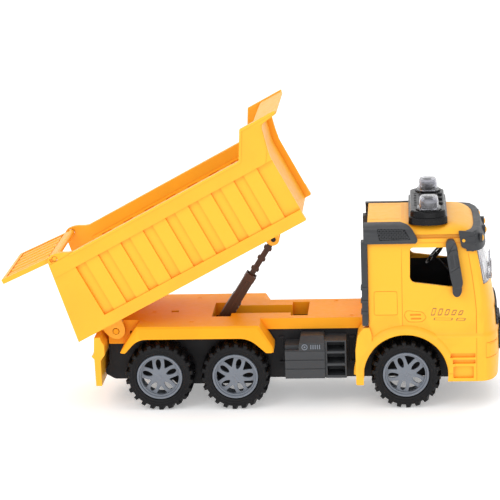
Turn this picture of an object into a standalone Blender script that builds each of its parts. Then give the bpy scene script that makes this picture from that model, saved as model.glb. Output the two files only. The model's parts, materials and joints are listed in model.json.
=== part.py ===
"""Toy tipper truck: cab, chassis, deck, tipping bed with top-hung tailgate, six wheels, friction motor."""

import math

import bmesh
import bpy
from mathutils import Matrix, Vector

MM = 0.001
GAP = 0.3                    # between neighbouring pieces
SHARP_ANGLE = 30.0           # edges that turn by more than this look sharp

# ---------------------------------------------------------------- driving dimensions, millimetres
# X runs forward from the middle axle, Y to the truck's left, Z up from the ground.
TRUCK_SHIFT = -11.95         # places the middle axle so that the whole truck is centred on the origin
HALF_WIDTH = 40.5
AXLE_X = {"rear": -52.8, "middle": 0.0, "front": 118.0}

TYRE_RADIUS = 24.15
TREAD_DEPTH = 2.2
TYRE_WIDTH = 17.0
TREAD_LUGS = 12
TREAD_STEP = 360.0 / (3 * TREAD_LUGS)   # each lug takes two steps of the tyre's outline, its groove one
RIM_RADIUS = 16.0
AXLE_RADIUS = 1.5
AXLE_HEIGHT = TYRE_RADIUS * math.cos(math.radians(TREAD_STEP / 2))

CHASSIS_HALF = 20.5
CHASSIS_WALL = 1.8
CHASSIS_TOP = 52.4
DECK_TOP = 60.8
DECK_HALF = 23.0
DECK_FRONT = 92.6
FENDER_HALF = 40.0

BED_TIP_ANGLE = 27.8         # the bed stands raised by this angle
BED_PIVOT = (-83.5, 54.0)
BED_LENGTH = 181.5
BED_HALF = 39.0
BED_INNER = 35.4
BED_REAR = -23.7             # rear end of the bed floor, from the pivot
BED_BASE = 8.0               # underside of the bed's skirts above the pivot
BED_FLOOR = 6.2              # underside of the floor panel above the skirts' lower edge
FLOOR_THICK = 2.2
BED_WALL = 57.5
BED_LEAN = 10.4              # the rear edge leans forward by this much at the rail
RAIL_LOW = 47.6
SKIRT_TOP = 8.4
RIB_PITCH = 17.95
RIB_FIRST = 33.8             # rear edge of the first rib, from the rear end of the bed
RIB_WIDTH = 10.2
RIBS = 8
RIB_FACE = 38.5
PANEL_FACE = 37.4
RAM_PIN = (125.3, 0.3)       # upper ram pin, from the bed pivot

TAILGATE_PIN = (16.3, 59.5)  # from the rear lower corner of the bed
TAILGATE_LENGTH = 42.1
TAILGATE_OPEN = 83.3
TAILGATE_HALF = 34.6

RAM_FOOT = (-14.7, 47.0)
RAM_ANGLE = 57.3             # above the horizontal
RAM_LENGTH = 77.7            # foot pin to upper pin
BARREL_LENGTH = 47.0
ROD_LENGTH = 50.0

CAB_REAR = 93.3
CAB_WALL = 1.8
FRONT_POWER = 3.2            # superellipse power of the bowed front
ARCH_RADIUS = 29.0
ROOF_TOP = 130.0
BAR_X = (121.5, 147.5)
BAR_TOP = 138.5
BAR_HALF = 38.5
BEACON_X = 135.2
BEACON_Y = 27.2
BUTTON_X = 143.3
BUTTON_SPACING = 13.0
LAMP_Y = (-34.0, -12.0, 12.0, 34.0)
LAMP_Z = 119.4
CUP_RADIUS = 3.3
CUP_WALL = 0.9
CUP_DEPTH = 1.8

YELLOW = ("body_yellow", (0.95, 0.52, 0.03, 1), 0.35, 0.0)
ORANGE = ("deck_yellow", (0.95, 0.49, 0.03, 1), 0.38, 0.0)
BLACK = ("chassis_black", (0.02, 0.02, 0.022, 1), 0.45, 0.0)
RUBBER = ("tyre_black", (0.016, 0.016, 0.018, 1), 0.6, 0.0)
GREY = ("trim_grey", (0.075, 0.078, 0.082, 1), 0.5, 0.0)
RIM = ("rim_grey", (0.24, 0.265, 0.3, 1), 0.4, 0.2)
BROWN = ("ram_brown", (0.075, 0.038, 0.022, 1), 0.4, 0.0)
GLOSS = ("gloss_black", (0.01, 0.01, 0.011, 1), 0.12, 0.0)
CLEAR = ("clear_plastic", (0.86, 0.86, 0.9, 1), 0.08, 0.0)
STEEL = ("steel", (0.55, 0.56, 0.58, 1), 0.3, 1.0)
WHITE = ("gear_white", (0.85, 0.85, 0.82, 1), 0.4, 0.0)
GREEN = ("board_green", (0.03, 0.2, 0.07, 1), 0.5, 0.0)
ZINC = ("flywheel_zinc", (0.5, 0.5, 0.5, 1), 0.4, 1.0)


# ---------------------------------------------------------------- helpers
def clear_scene():
    for obj in list(bpy.data.objects):
        bpy.data.objects.remove(obj, do_unlink=True)


def material(spec):
    name, colour, roughness, metallic = spec
    found = bpy.data.materials.get(name)
    if found:
        return found
    made = bpy.data.materials.new(name)
    made.use_nodes = True
    shader = made.node_tree.nodes["Principled BSDF"]
    shader.inputs["Base Color"].default_value = colour
    shader.inputs["Roughness"].default_value = roughness
    shader.inputs["Metallic"].default_value = metallic
    made.diffuse_color = colour
    return made


def link(obj):
    bpy.context.collection.objects.link(obj)
    return obj


def empty(name, location, parent=None, tilt=0.0):
    """An empty at (x, y, z) mm whose +X end is lifted by tilt degrees."""
    made = link(bpy.data.objects.new(name, None))
    made.location = Vector(location) * MM
    made.rotation_euler = (0.0, -math.radians(tilt), 0.0)
    made.parent = parent
    return made


def finish_mesh(bm):
    bmesh.ops.remove_doubles(bm, verts=bm.verts, dist=1e-4)
    bmesh.ops.recalc_face_normals(bm, faces=bm.faces)
    bmesh.ops.scale(bm, vec=(MM, MM, MM), verts=bm.verts)
    mesh = bpy.data.meshes.new("shape")
    bm.to_mesh(mesh)
    bm.free()
    return mesh


def loft(rings, closed=False):
    """Skin equal-length rings of points; the ends are capped unless the loft closes on itself."""
    bm = bmesh.new()
    grid = [[bm.verts.new(point) for point in ring] for ring in rings]
    count = len(grid[0])
    last = len(grid) if closed else len(grid) - 1
    for row in range(last):
        lower = grid[row]
        upper = grid[(row + 1) % len(grid)]
        for i in range(count):
            j = (i + 1) % count
            bm.faces.new((lower[i], lower[j], upper[j], upper[i]))
    if not closed:
        bm.faces.new(list(reversed(grid[0])))
        bm.faces.new(grid[-1])
    return finish_mesh(bm)


def slab(outline, low, high):
    """A side-view outline of (x, z) points, extruded from y = low to y = high."""
    return loft([[(x, y, z) for x, z in outline] for y in (low, high)])


def plate(outline, low, high):
    """A plan outline of (x, y) points, extruded from z = low to z = high."""
    return loft([[(x, y, z) for x, y in outline] for z in (low, high)])


def block(x0, x1, y0, y1, z0, z1):
    return slab([(x0, z0), (x1, z0), (x1, z1), (x0, z1)], y0, y1)


def turned(profile, segments, radius_of=None):
    """A solid of revolution about Y; the closed profile holds (radius, y) points."""
    rings = []
    for i in range(segments):
        angle = 2 * math.pi * i / segments
        ring = []
        for radius, y in profile:
            r = radius_of(radius, i) if radius_of else radius
            ring.append((r * math.cos(angle), y, r * math.sin(angle)))
        rings.append(ring)
    return loft(rings, closed=True)


def disc_outline(cx, cz, radius, segments):
    step = 2 * math.pi / segments
    return [(cx + radius * math.cos(i * step), cz + radius * math.sin(i * step)) for i in range(segments)]


def rod(cx, cz, radius, y0, y1, segments=20):
    return slab(disc_outline(cx, cz, radius, segments), y0, y1)


def post(cx, cy, radius, z0, z1, segments=20):
    return plate(disc_outline(cx, cy, radius, segments), z0, z1)


def combine(base, tools, operation):
    """Boolean the tools into the base mesh, one after another."""
    holder = link(bpy.data.objects.new("holder", base))
    helpers = []
    for tool in tools:
        helper = link(bpy.data.objects.new("helper", tool))
        helpers.append(helper)
        cut = holder.modifiers.new("cut", "BOOLEAN")
        cut.operation = operation
        cut.solver = "EXACT"
        cut.object = helper
    graph = bpy.context.evaluated_depsgraph_get()
    result = bpy.data.meshes.new_from_object(holder.evaluated_get(graph))
    for helper in helpers + [holder]:
        bpy.data.objects.remove(helper, do_unlink=True)
    return result


def cut(base, *tools):
    return combine(base, tools, "DIFFERENCE")


def join(base, *tools):
    return combine(base, tools, "UNION")


def common(base, *tools):
    return combine(base, tools, "INTERSECT")


def moved(mesh, x=0.0, y=0.0, z=0.0):
    copy = mesh.copy()
    copy.transform(Matrix.Translation(Vector((x, y, z)) * MM))
    return copy


def mirrored(mesh):
    copy = mesh.copy()
    copy.transform(Matrix.Scale(-1.0, 4, (0, 1, 0)))
    copy.flip_normals()
    return copy


def node(name, mesh, look, parent, location=(0, 0, 0)):
    """One named piece; merges coincident points and drops slivers left by the Booleans."""
    bm = bmesh.new()
    bm.from_mesh(mesh)
    bmesh.ops.remove_doubles(bm, verts=bm.verts, dist=2e-6)
    bmesh.ops.dissolve_degenerate(bm, edges=bm.edges, dist=2e-6)
    bmesh.ops.recalc_face_normals(bm, faces=bm.faces)
    clean = bpy.data.meshes.new(name)
    bm.to_mesh(clean)
    bm.free()
    clean.shade_smooth()
    clean.set_sharp_from_angle(angle=math.radians(SHARP_ANGLE))
    clean.materials.clear()
    clean.materials.append(material(look))
    made = link(bpy.data.objects.new(name, clean))
    made.location = Vector(location) * MM
    made.parent = parent
    return made


def sides(build):
    """The mesh for the truck's right side (-Y) and its mirror image for the left side (+Y)."""
    right = build()
    return {"right": right, "left": mirrored(right)}


# ---------------------------------------------------------------- chassis
def chassis(parent):
    low = 16.8
    outline = [(-86.8, low), (-47, low), (-43, 12.6), (13, 12.6), (17, low), (176, low),
               (176, CHASSIS_TOP), (-74, CHASSIS_TOP), (-74, 43.2), (-90, 43.2), (-90.4, 28.0),
               (-93.0, 25.0), (-93.4, 20.6)]
    shell = slab(outline, -CHASSIS_HALF, CHASSIS_HALF)
    inner = CHASSIS_HALF - CHASSIS_WALL
    floor = low + 2.0
    hollow = slab([(-84.5, floor), (-46, floor), (-42, 14.4), (12, 14.4), (16, floor), (174, floor),
                   (174, 60), (-84.5, 60)], -inner, inner)
    tools = [hollow]
    for x in AXLE_X.values():
        tools.append(rod(x, AXLE_HEIGHT, AXLE_RADIUS + 0.5, -30, 30, 16))
    tools.append(block(138, 164, -17, 17, 10, 20))
    tools.append(post(168.2, 0, 1.6, 10, 20, 12))
    node("chassis", cut(shell, *tools), BLACK, parent)


def side_box_mesh():
    """Storage box with its raised battery cover and the ladder step beside it."""
    outer = -38.2
    inner = -CHASSIS_HALF - GAP
    box = slab([(34.8, 21.6), (77.2, 21.6), (77.2, 52.2), (62.2, 52.2), (61.6, 55.0), (46.6, 55.0),
                (44.4, 50.0), (44.4, 47.8), (34.8, 47.8)], outer, inner)
    openings = [block(64.4, 75.4, outer - 1, inner - 4, z, z + 6.6) for z in (24.0, 32.9, 41.6)]
    seam = block(62.2, 62.9, outer - 1, outer + 1.2, 15, 60)
    lip = block(34, 44.4, outer - 1, outer + 1.4, 42.2, 60)
    grooves = [block(34, 62.2, outer - 1, outer + 0.6, z, z + 0.7) for z in (28.3, 34.7)]
    beside_deck = block(30, 80, -DECK_HALF - GAP, 0, 52.6, 60)
    return cut(box, *openings, seam, lip, *grooves, beside_deck)


def rear_bumper(parent):
    beam = slab([(-98.4, 40.5), (-97.6, 52.8), (-93.4, 52.8), (-92.6, 50.0), (-90.7, 47.0), (-90.7, 40.0),
                 (-93.7, 36.0), (-93.7, 17.4), (-97.9, 17.4), (-98.2, 37.0), (-100.2, 39.0)], -38, 38)
    lamps = [block(-99.5, -97.4, side * 18.5 - 14, side * 18.5 + 14, 22.0, 33.0) for side in (-1, 1)]
    node("rear_bumper", cut(beam, *lamps), YELLOW, parent)


# ---------------------------------------------------------------- deck with its rear fenders
FENDER_OUTLINE = [(-79.6, 42.2), (-75.6, 42.2), (-73.0, 46.4), (-69.6, 50.0), (-65.0, 52.0), (8.0, 52.0),
                  (13.6, 50.4), (18.6, 46.6), (22.0, 41.4), (27.2, 41.4), (27.2, 44.6), (17.4, DECK_TOP),
                  (-67.4, DECK_TOP)]


def fender_mesh():
    """Right fender: a thin shell over both rear wheels, its outer upper edge broken by a wide bevel."""
    edge = 2.3
    middle_x = -25.0
    rings = []
    for y, inset in ((-DECK_HALF + 1.0, 0.0), (-FENDER_HALF + edge, 0.0), (-FENDER_HALF, edge)):
        ring = []
        for x, z in FENDER_OUTLINE:
            top = z > 52.1 or x > 26 or x < -79
            shift_z = -inset if z > 52.1 else 0.0
            shift_x = inset * 0.9 * (1 if x < middle_x else -1) if top else 0.0
            ring.append((x + shift_x, y, z + shift_z))
        rings.append(ring)
    shell = loft(rings)
    hollow = slab([(-72.8, 40), (-65.6, 50), (-65.6, 58.6), (15.6, 58.6), (22.4, 46), (22.4, 40)],
                  -FENDER_HALF + 2.4, -DECK_HALF - 1.4)
    return cut(shell, hollow)


# X where each stretch of the ram's opening starts and ends, and its half width
RAM_WELL = [(-17.0, -3.7, 17.0), (-3.7, 38.2, 13.5), (38.2, 50.2, 16.3)]
WELL_SKIRT = 1.2
WELL_DEPTH = 9.4


def well_outline(grown):
    """Plan of the opening that the ram folds down into, grown outwards."""
    start, end = RAM_WELL[0][0] - grown, RAM_WELL[-1][1] + grown
    near = [(start, -RAM_WELL[0][2] - grown)]
    for (_, x, half), (_, _, half_after) in zip(RAM_WELL, RAM_WELL[1:]):
        step = grown if half > half_after else -grown
        near += [(x + step, -half - grown), (x + step, -half_after - grown)]
    near.append((end, -RAM_WELL[-1][2] - grown))
    return near + [(x, -y) for x, y in reversed(near)]


def deck(parent):
    tail = 43.6
    outline = [(-89.6, tail), (-74.4, tail), (-74.4, 53.0), (DECK_FRONT, 53.0), (DECK_FRONT, DECK_TOP),
               (-84.6, DECK_TOP), (-89.6, 56.5)]
    body = slab(outline, -DECK_HALF, DECK_HALF)
    inner = DECK_HALF - 1.8
    under = DECK_TOP - 2.4
    hollow = slab([(-87.6, 40), (-76.2, 40), (-76.2, 50), (90, 50), (90, under), (-84.4, under),
                   (-87.6, 55.0)], -inner, inner)
    right = fender_mesh()
    body = join(body, right, mirrored(right))
    screw_seat = block(-47.0, -41.6, -5.6, -1.0, 50, 70)
    pin_hole = rod(BED_PIVOT[0], BED_PIVOT[1], 2.3, -40, 40, 16)
    skirt = plate(well_outline(WELL_SKIRT), DECK_TOP - WELL_DEPTH, DECK_TOP - 1.2)
    body = join(cut(body, hollow, screw_seat, pin_hole), skirt)
    node("deck", cut(body, plate(well_outline(0.0), 40, 70)), ORANGE, parent)


def bed_hinge_pin(parent):
    """Moulded pin through the deck's tail; the bed lugs hang on its ends."""
    node("bed_hinge_pin", rod(BED_PIVOT[0], BED_PIVOT[1], 2.0, -27.7, 27.7, 16), ORANGE, parent)


# ---------------------------------------------------------------- wheels
def tyre_mesh():
    """Tyre for the right side: lugs run over the shoulders, and one lug stands flat on the ground."""
    half = TYRE_WIDTH / 2
    inner = RIM_RADIUS + GAP
    profile = [(inner, -half + 0.8), (20.4, -half), (TYRE_RADIUS, -half + 2.6), (TYRE_RADIUS, half - 2.6),
               (20.4, half), (inner, half - 0.8)]

    def lugged(radius, index):
        return radius - TREAD_DEPTH if radius > 22 and index % 3 == 2 else radius

    mesh = turned(profile, TREAD_LUGS * 3, radius_of=lugged)
    mesh.transform(Matrix.Rotation(math.radians(90 + TREAD_STEP / 2), 4, "Y"))
    return mesh


def rim_mesh():
    """Rim for the right side: open barrel with a five-spoked face set back from its outer lip."""
    half = TYRE_WIDTH / 2
    profile = [(2.0, -half + 1.4), (13.4, -half + 2.4), (14.2, -half + 0.3), (RIM_RADIUS, -half + 0.3),
               (RIM_RADIUS, half - 1.0), (14.2, half - 1.0), (14.0, -half + 5.0), (4.0, -half + 4.6),
               (4.0, half - 3.0), (2.0, half - 3.0)]
    shell = turned(profile, 18)
    windows = []
    near, far, spread = 6.6, 12.4, 0.34
    for i in range(5):
        angle = 2 * math.pi * i / 5 + math.pi / 2
        outline = [(near * math.cos(angle), near * math.sin(angle)),
                   (far * math.cos(angle - spread), far * math.sin(angle - spread)),
                   (far * math.cos(angle + spread), far * math.sin(angle + spread))]
        windows.append(slab(outline, -half - 1, -half + 8))
    return cut(shell, *windows)


def wheels(parents):
    tyre = tyre_mesh()
    rim = rim_mesh()
    middle_y = HALF_WIDTH - TYRE_WIDTH / 2
    for place, parent in parents.items():
        length = HALF_WIDTH - 3.4
        node(place + "_axle", rod(0, 0, AXLE_RADIUS, -length, length, 16), STEEL, parent)
        for side, sign in (("right", -1), ("left", 1)):
            tyre_here = tyre if sign < 0 else mirrored(tyre)
            rim_here = rim if sign < 0 else mirrored(rim)
            at = (0, sign * middle_y, 0)
            node(f"{place}_tyre_{side}", tyre_here, RUBBER, parent, at)
            node(f"{place}_rim_{side}", rim_here, RIM, parent, at)


# ---------------------------------------------------------------- friction motor
# The middle axle turns the idler and the idler the flywheel, each step faster than the one before.
GEAR_MODULE = 0.7333
TOOTH_TIP = 0.55
TOOTH_ROOT = 0.75
MESH_PLAY = 0.4
LARGE_TEETH = {"axle": 18, "idler": 20}
PINION_TEETH = 9
GEAR_RISE = {"idler": 1.5, "flywheel": 0.8}    # each shaft stands this much above the one before
AXLE_GEAR_Y = (-6.0, -2.6)
IDLER_GEAR_Y = (0.4, 3.4)
FLYWHEEL_Y = (3.9, 11.0)
FLYWHEEL_RADIUS = 8.4
MOTOR_X = (-32.6, 8.6)
MOTOR_Z = (15.0, 36.0)
MOTOR_HALF = 14.4
MOTOR_WALL = 1.4


def pitch_radius(teeth):
    return GEAR_MODULE * teeth / 2


def next_shaft(start, teeth, rise):
    """Where the pinion's shaft stands behind the large gear it meshes with, and the direction to it."""
    reach = pitch_radius(teeth) + pitch_radius(PINION_TEETH) + MESH_PLAY
    along = -math.sqrt(reach ** 2 - rise ** 2)
    return (start[0] + along, start[1] + rise), math.atan2(rise, along)


MOTOR_IDLER, TO_IDLER = next_shaft((0.0, AXLE_HEIGHT), LARGE_TEETH["axle"], GEAR_RISE["idler"])
MOTOR_WHEEL, TO_WHEEL = next_shaft(MOTOR_IDLER, LARGE_TEETH["idler"], GEAR_RISE["flywheel"])


def gear_mesh(teeth, y0, y1, bore, tooth_at):
    """A spur gear with pointed teeth, one of them at the given angle."""
    outline = []
    for i in range(teeth * 2):
        radius = pitch_radius(teeth) + (-TOOTH_ROOT if i % 2 else TOOTH_TIP)
        angle = tooth_at + math.pi * i / teeth
        outline.append((radius * math.cos(angle), radius * math.sin(angle)))
    return cut(slab(outline, y0, y1), rod(0, 0, bore, y0 - 1, y1 + 1, 12))


def pinion_mesh(y0, y1, bore, large_gear_at):
    """A pinion that shows the gap between two teeth to the large gear driving it."""
    return gear_mesh(PINION_TEETH, y0, y1, bore, large_gear_at + math.pi + math.pi / PINION_TEETH)


def friction_motor(root, axle, idler, wheel):
    case = block(*MOTOR_X, -MOTOR_HALF, MOTOR_HALF, *MOTOR_Z)
    inner = MOTOR_HALF - MOTOR_WALL
    x0, x1 = MOTOR_X[0] + MOTOR_WALL, MOTOR_X[1] - MOTOR_WALL
    hollow = block(x0, x1, -inner, inner, MOTOR_Z[0] + MOTOR_WALL, 40.0)
    axle_hole = rod(0, AXLE_HEIGHT, AXLE_RADIUS + 0.5, -20, 20, 16)
    node("motor_case", cut(case, hollow, axle_hole), WHITE, root)
    lid_low = MOTOR_Z[1] + GAP
    node("motor_lid", block(*MOTOR_X, -MOTOR_HALF, MOTOR_HALF, lid_low, lid_low + 1.7), WHITE, root)
    shaft_half = inner - GAP
    node("flywheel_shaft", rod(0, 0, 0.9, -shaft_half, shaft_half, 10), STEEL, wheel)
    node("axle_gear", gear_mesh(LARGE_TEETH["axle"], *AXLE_GEAR_Y, AXLE_RADIUS + GAP, TO_IDLER), WHITE, axle)
    small = pinion_mesh(*AXLE_GEAR_Y, 1.3, TO_IDLER)
    large = gear_mesh(LARGE_TEETH["idler"], *IDLER_GEAR_Y, 1.3, TO_WHEEL)
    stub = rod(0, 0, 1.4, -shaft_half, shaft_half, 12)
    node("idler_gear", join(small, large, stub), WHITE, idler)
    drive = pinion_mesh(IDLER_GEAR_Y[0], FLYWHEEL_Y[0] + 0.4, 1.3, TO_WHEEL)
    weight = cut(rod(0, 0, FLYWHEEL_RADIUS, *FLYWHEEL_Y, 20), rod(0, 0, 1.3, 2, 12, 12))
    node("flywheel", join(drive, weight), ZINC, wheel)


# ---------------------------------------------------------------- cab
# height: (half width, X where the side starts to curve, X of the front on the centre line)
CAB_LEVELS = [(19.2, (40.5, 165.6, 182.4)), (36.0, (40.5, 166.0, 183.2)), (52.0, (40.5, 166.0, 182.9)),
              (53.0, (39.5, 166.0, 181.6)), (66.0, (39.5, 166.0, 180.7)), (77.0, (39.5, 165.6, 178.7)),
              (87.0, (39.5, 164.5, 176.8)), (112.0, (39.3, 161.0, 171.8)), (120.0, (38.9, 159.3, 169.2)),
              (125.6, (37.0, 156.4, 165.4)), (128.4, (33.0, 152.2, 160.2)), (ROOF_TOP, (22.0, 143.0, 149.0))]
HOOD_LEVELS = [(112.0, (41.4, 161.0, 174.0)), (125.6, (41.4, 159.0, 170.4))]


def cab_ring(z, sizes, rear, offset=0.0, steps=5):
    """Plan outline of the cab at one height, grown outwards by offset."""
    half, corner, front = sizes
    half += offset
    front += offset
    ring = [(rear, -half, z)]
    for i in range(-steps, steps + 1):
        angle = math.pi / 2 * i / steps
        along = math.cos(angle) ** (2 / FRONT_POWER)
        across = math.copysign(abs(math.sin(angle)) ** (2 / FRONT_POWER), angle)
        ring.append((corner + (front - corner) * along, half * across, z))
    ring.append((rear, half, z))
    return ring


def cab_solid(rear, offset):
    return loft([cab_ring(z, sizes, rear, offset) for z, sizes in CAB_LEVELS])


def window_outline():
    return [(122.6, 93.0), (124.2, 90.9), (149.0, 87.4), (157.0, 86.4), (154.0, 114.4), (122.8, 114.6)]


def cab_shell(parent):
    outer = cab_solid(CAB_REAR, 0.0)
    mudguards = []
    for side in (-1, 1):
        mudguards.append(slab([(83.7, 17.6), (100, 17.6), (100, 60), (92, 60), (84.6, 57.6), (83.7, 44)],
                              *sorted((side * (DECK_HALF + 0.6), side * 41.4))))
    flare = []
    for side in (-1, 1):
        ring = disc_outline(AXLE_X["front"], AXLE_HEIGHT, 34.6, 28)
        arch = slab(ring, *sorted((side * 38.0, side * 41.8)))
        flare.append(cut(arch, block(60, 180, -60, 60, -20, 26)))
    body = join(outer, *mudguards, *flare)
    cavity_levels = [(z, sizes) for z, sizes in CAB_LEVELS if z < 126]
    cavity_rings = [cab_ring(10.0, CAB_LEVELS[0][1], CAB_REAR + CAB_WALL, -CAB_WALL)]
    cavity_rings += [cab_ring(z, sizes, CAB_REAR + CAB_WALL, -CAB_WALL) for z, sizes in cavity_levels]
    cavity = loft(cavity_rings)
    guard_hollows = []
    for side in (-1, 1):
        guard_hollows.append(block(85.6, 99, *sorted((side * (DECK_HALF + 2.2), side * 39.6)), 10, 56))
    arch_hole = rod(AXLE_X["front"], AXLE_HEIGHT, ARCH_RADIUS, -60, 60, 40)
    middle = AXLE_X["front"]
    below_axle = block(middle - ARCH_RADIUS, middle + ARCH_RADIUS - 1.2, -60, 60, 0, AXLE_HEIGHT)
    windows = slab(window_outline(), -60, 60)
    screen = block(158, 200, -37.0, 37.0, 87.4, 112.0)
    rear_gate = block(80, 98, -DECK_HALF - 0.4, DECK_HALF + 0.4, 0, 61.2)
    belly = slab([(140, 10), (150, 10), (150, 17), (144, 19)], -60, 60)
    body = cut(body, cavity, arch_hole, below_axle, windows, screen, rear_gate, belly, *guard_hollows)
    steps = []
    for z0, z1, x0 in ((36.4, 39.4, 148.2), (32.0, 34.8, 150.0), (21.6, 30.0, 150.4)):
        for side in (-1, 1):
            steps.append(block(x0, 165.4, *sorted((side * 39.7, side * 42)), z0, z1))
    mast = [post(x, side * 24, 1.2, 120, 140, 10) for x in (126, 143) for side in (-1, 1)]
    node("cab_shell", cut(body, *steps, *mast), YELLOW, parent)


def front_band(inner, outer, half, low, high):
    """A strip of skin that follows the bowed cab front between two heights."""
    skin = cut(cab_solid(150.0, outer), cab_solid(140.0, inner))
    return common(skin, block(150.5, 200, -half, half, low, high))


def windshield(parent):
    node("windshield", front_band(-1.5, 0.35, 36.6, 87.7, 111.7), CLEAR, parent)


def front_grille(parent):
    panel = front_band(GAP, 1.3, 23.0, 37.0, 52.0)
    upper = front_band(GAP, 1.3, 23.0, 54.0, 68.0)
    bent = [(183.5, 49.0), (184.3, 49.0), (184.3, 57.0), (182.2, 57.0), (182.2, 53.6), (183.5, 53.3)]
    tie = slab(bent, -12, 12)
    node("front_grille", join(panel, tie, upper), BLACK, parent)


def front_x(levels, z, y):
    """X of a bowed front's outer face at one height and distance from the centre line."""
    for (low, start), (high, end) in zip(levels, levels[1:]):
        if low <= z <= high:
            share = (z - low) / (high - low)
            half, corner, front = [a + (b - a) * share for a, b in zip(start, end)]
    across = (abs(y) / half) ** FRONT_POWER
    return corner + (front - corner) * (1 - across) ** (1 / FRONT_POWER)


def forward_disc(radius, x0, x1, y, z, segments):
    """A round boss whose axis runs forward."""
    disc = rod(0, 0, radius, x0, x1, segments)
    disc.transform(Matrix.Rotation(-math.pi / 2, 4, "Z"))
    return moved(disc, 0, y, z)


def lamp_face(y):
    """X of a lamp cup's front rim, just proud of the visor."""
    return front_x(HOOD_LEVELS, LAMP_Z, abs(y)) + 1.2


def roof_visor(parent):
    """Hood round the roof's front with an ear plate at each side and four lamp cups."""
    hood = cut(loft([cab_ring(z, sizes, 150.0) for z, sizes in HOOD_LEVELS]), cab_solid(140.0, GAP))
    hood = common(hood, block(160, 200, -50, 50, 100, 140))
    cups = []
    sockets = []
    for y in LAMP_Y:
        back = front_x(CAB_LEVELS, LAMP_Z - CUP_RADIUS, abs(y) - CUP_RADIUS) + 0.5
        cups.append(forward_disc(CUP_RADIUS, back, lamp_face(y), y, LAMP_Z, 16))
        sockets.append(forward_disc(CUP_RADIUS - CUP_WALL, lamp_face(y) - CUP_DEPTH, 180, y, LAMP_Z, 12))
    ears = []
    for side in (-1, 1):
        outline = [(154.7, 126.2), (162.8, 125.4), (165.6, 125.4), (165.6, 112.2), (164.2, 111.6),
                   (156.7, 114.7), (155.7, 119.9)]
        ears.append(slab(outline, *sorted((side * 40.1, side * 41.4))))
    node("roof_visor", cut(join(hood, *ears, *cups), *sockets), GREY, parent)


def visor_lamps(parent):
    for number, y in enumerate(LAMP_Y, 1):
        back = lamp_face(y) - CUP_DEPTH + GAP
        lens = forward_disc(CUP_RADIUS - CUP_WALL - GAP, back, lamp_face(y) + 0.3, y, LAMP_Z, 10)
        node(f"visor_lamp_{number}", lens, YELLOW, parent)


FAIRING_REAR = 90.9
FAIRING_GRILLE = (100.2, 120.4)
# from the lower edge up: outer y and z, inner y and z, X of the front edge
FAIRING_LEVELS = [(-42.0, 117.9, -39.3, 117.9, 125.8), (-41.9, 119.9, -39.25, 119.9, 127.1),
                  (-41.4, 123.8, -38.2, 123.6, 125.6), (-39.4, 127.2, -37.3, 125.8, 123.7),
                  (-34.5, 129.6, -33.2, 128.8, 120.6), (-28.2, 130.4, -28.2, 129.5, 115.5)]


def fairing_mesh():
    """Side deflector that wraps over the roof's rear shoulder, with the air intake column below it."""
    wing = loft([[(FAIRING_REAR, y, z), (front, y, z), (front, inner_y, inner_z), (FAIRING_REAR, inner_y, inner_z)]
                 for y, z, inner_y, inner_z, front in FAIRING_LEVELS])
    column = block(87.6, CAB_REAR - GAP, -41.4, -33.6, 60.0, 119.2)
    bands = [block(87.0, CAB_REAR - GAP, -41.9, -33.2, z, z + 1.8) for z in (68.4, 76.4, 85.6)]
    x0, x1 = FAIRING_GRILLE
    grille = loft([[(x0, y - 1, z), (x1, y - 1, z), (x1, y + 0.7, z), (x0, y + 0.7, z)]
                   for y, z in ((-41.8, 121.0), (-41.4, 123.8), (-39.6, 126.9))])
    return cut(join(wing, column, *bands), grille)


def mirror_mesh():
    outer, inner = -44.6, -39.6 - GAP
    panel = [(149.0, 112.4), (155.0, 113.6), (158.8, 111.0), (158.2, 86.0), (154.6, 83.4), (151.6, 87.6),
             (149.4, 104.0)]
    housing = slab(panel, -46.0, -41.8)
    upper = slab([(146.6, 113.4), (148.0, 121.6), (152.6, 121.4), (155.6, 113.0), (152.0, 109.0)], outer, inner)
    clip = [(151.2, 86.8), (157.0, 87.4), (157.4, 81.6), (154.8, 79.4), (151.8, 81.4)]
    lower = slab(clip, outer, inner)
    return join(housing, upper, lower)


def bar_outline(inset=0.0):
    """Plan of the light bar: straight sides with bowed ends."""
    x0, x1 = BAR_X[0] + inset, BAR_X[1] - inset
    middle, reach = (x0 + x1) / 2, (x1 - x0) / 2
    points = []
    for side, order in ((-1, range(-4, 5)), (1, range(4, -5, -1))):
        for i in order:
            across = i / 4
            bow = 9.5 * (1 - math.sqrt(max(0.0, 1 - 0.92 * across * across)))
            points.append((middle + reach * across, side * (BAR_HALF - inset - bow)))
    return points


def light_bar(parent):
    shell = plate(bar_outline(), ROOF_TOP + GAP, BAR_TOP)
    hollow = plate(bar_outline(1.6), ROOF_TOP - 2, BAR_TOP - 1.6)
    holes = [post(BEACON_X, side * BEACON_Y, 3.4, 125, 145, 14) for side in (-1, 1)]
    holes += [post(BUTTON_X, k * BUTTON_SPACING, 1.9, 130, 145, 14) for k in (-1, 0, 1)]
    node("light_bar", cut(shell, hollow, *holes), GLOSS, parent)


def squircle(cx, cy, half, count=20, power=4.0):
    """A square outline with swept corners."""
    points = []
    for i in range(count):
        angle = 2 * math.pi * i / count
        c, s = math.cos(angle), math.sin(angle)
        points.append((cx + half * math.copysign(abs(c) ** (2 / power), c),
                       cy + half * math.copysign(abs(s) ** (2 / power), s)))
    return points


def beacon_mesh(cy):
    """Clear beacon cap, hollow and open below, with a base flange."""
    low = BAR_TOP + GAP
    outer = [(8.0, low), (8.0, low + 1.2), (6.6, low + 1.3), (6.2, low + 8.4), (5.0, low + 10.0)]
    inner = [(5.4, low - 1), (5.2, low + 7.6), (4.2, low + 8.8)]
    solid = loft([[(x, y, z) for x, y in squircle(BEACON_X, cy, r)] for r, z in outer])
    hollow = loft([[(x, y, z) for x, y in squircle(BEACON_X, cy, r)] for r, z in inner])
    return cut(solid, hollow)


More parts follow.
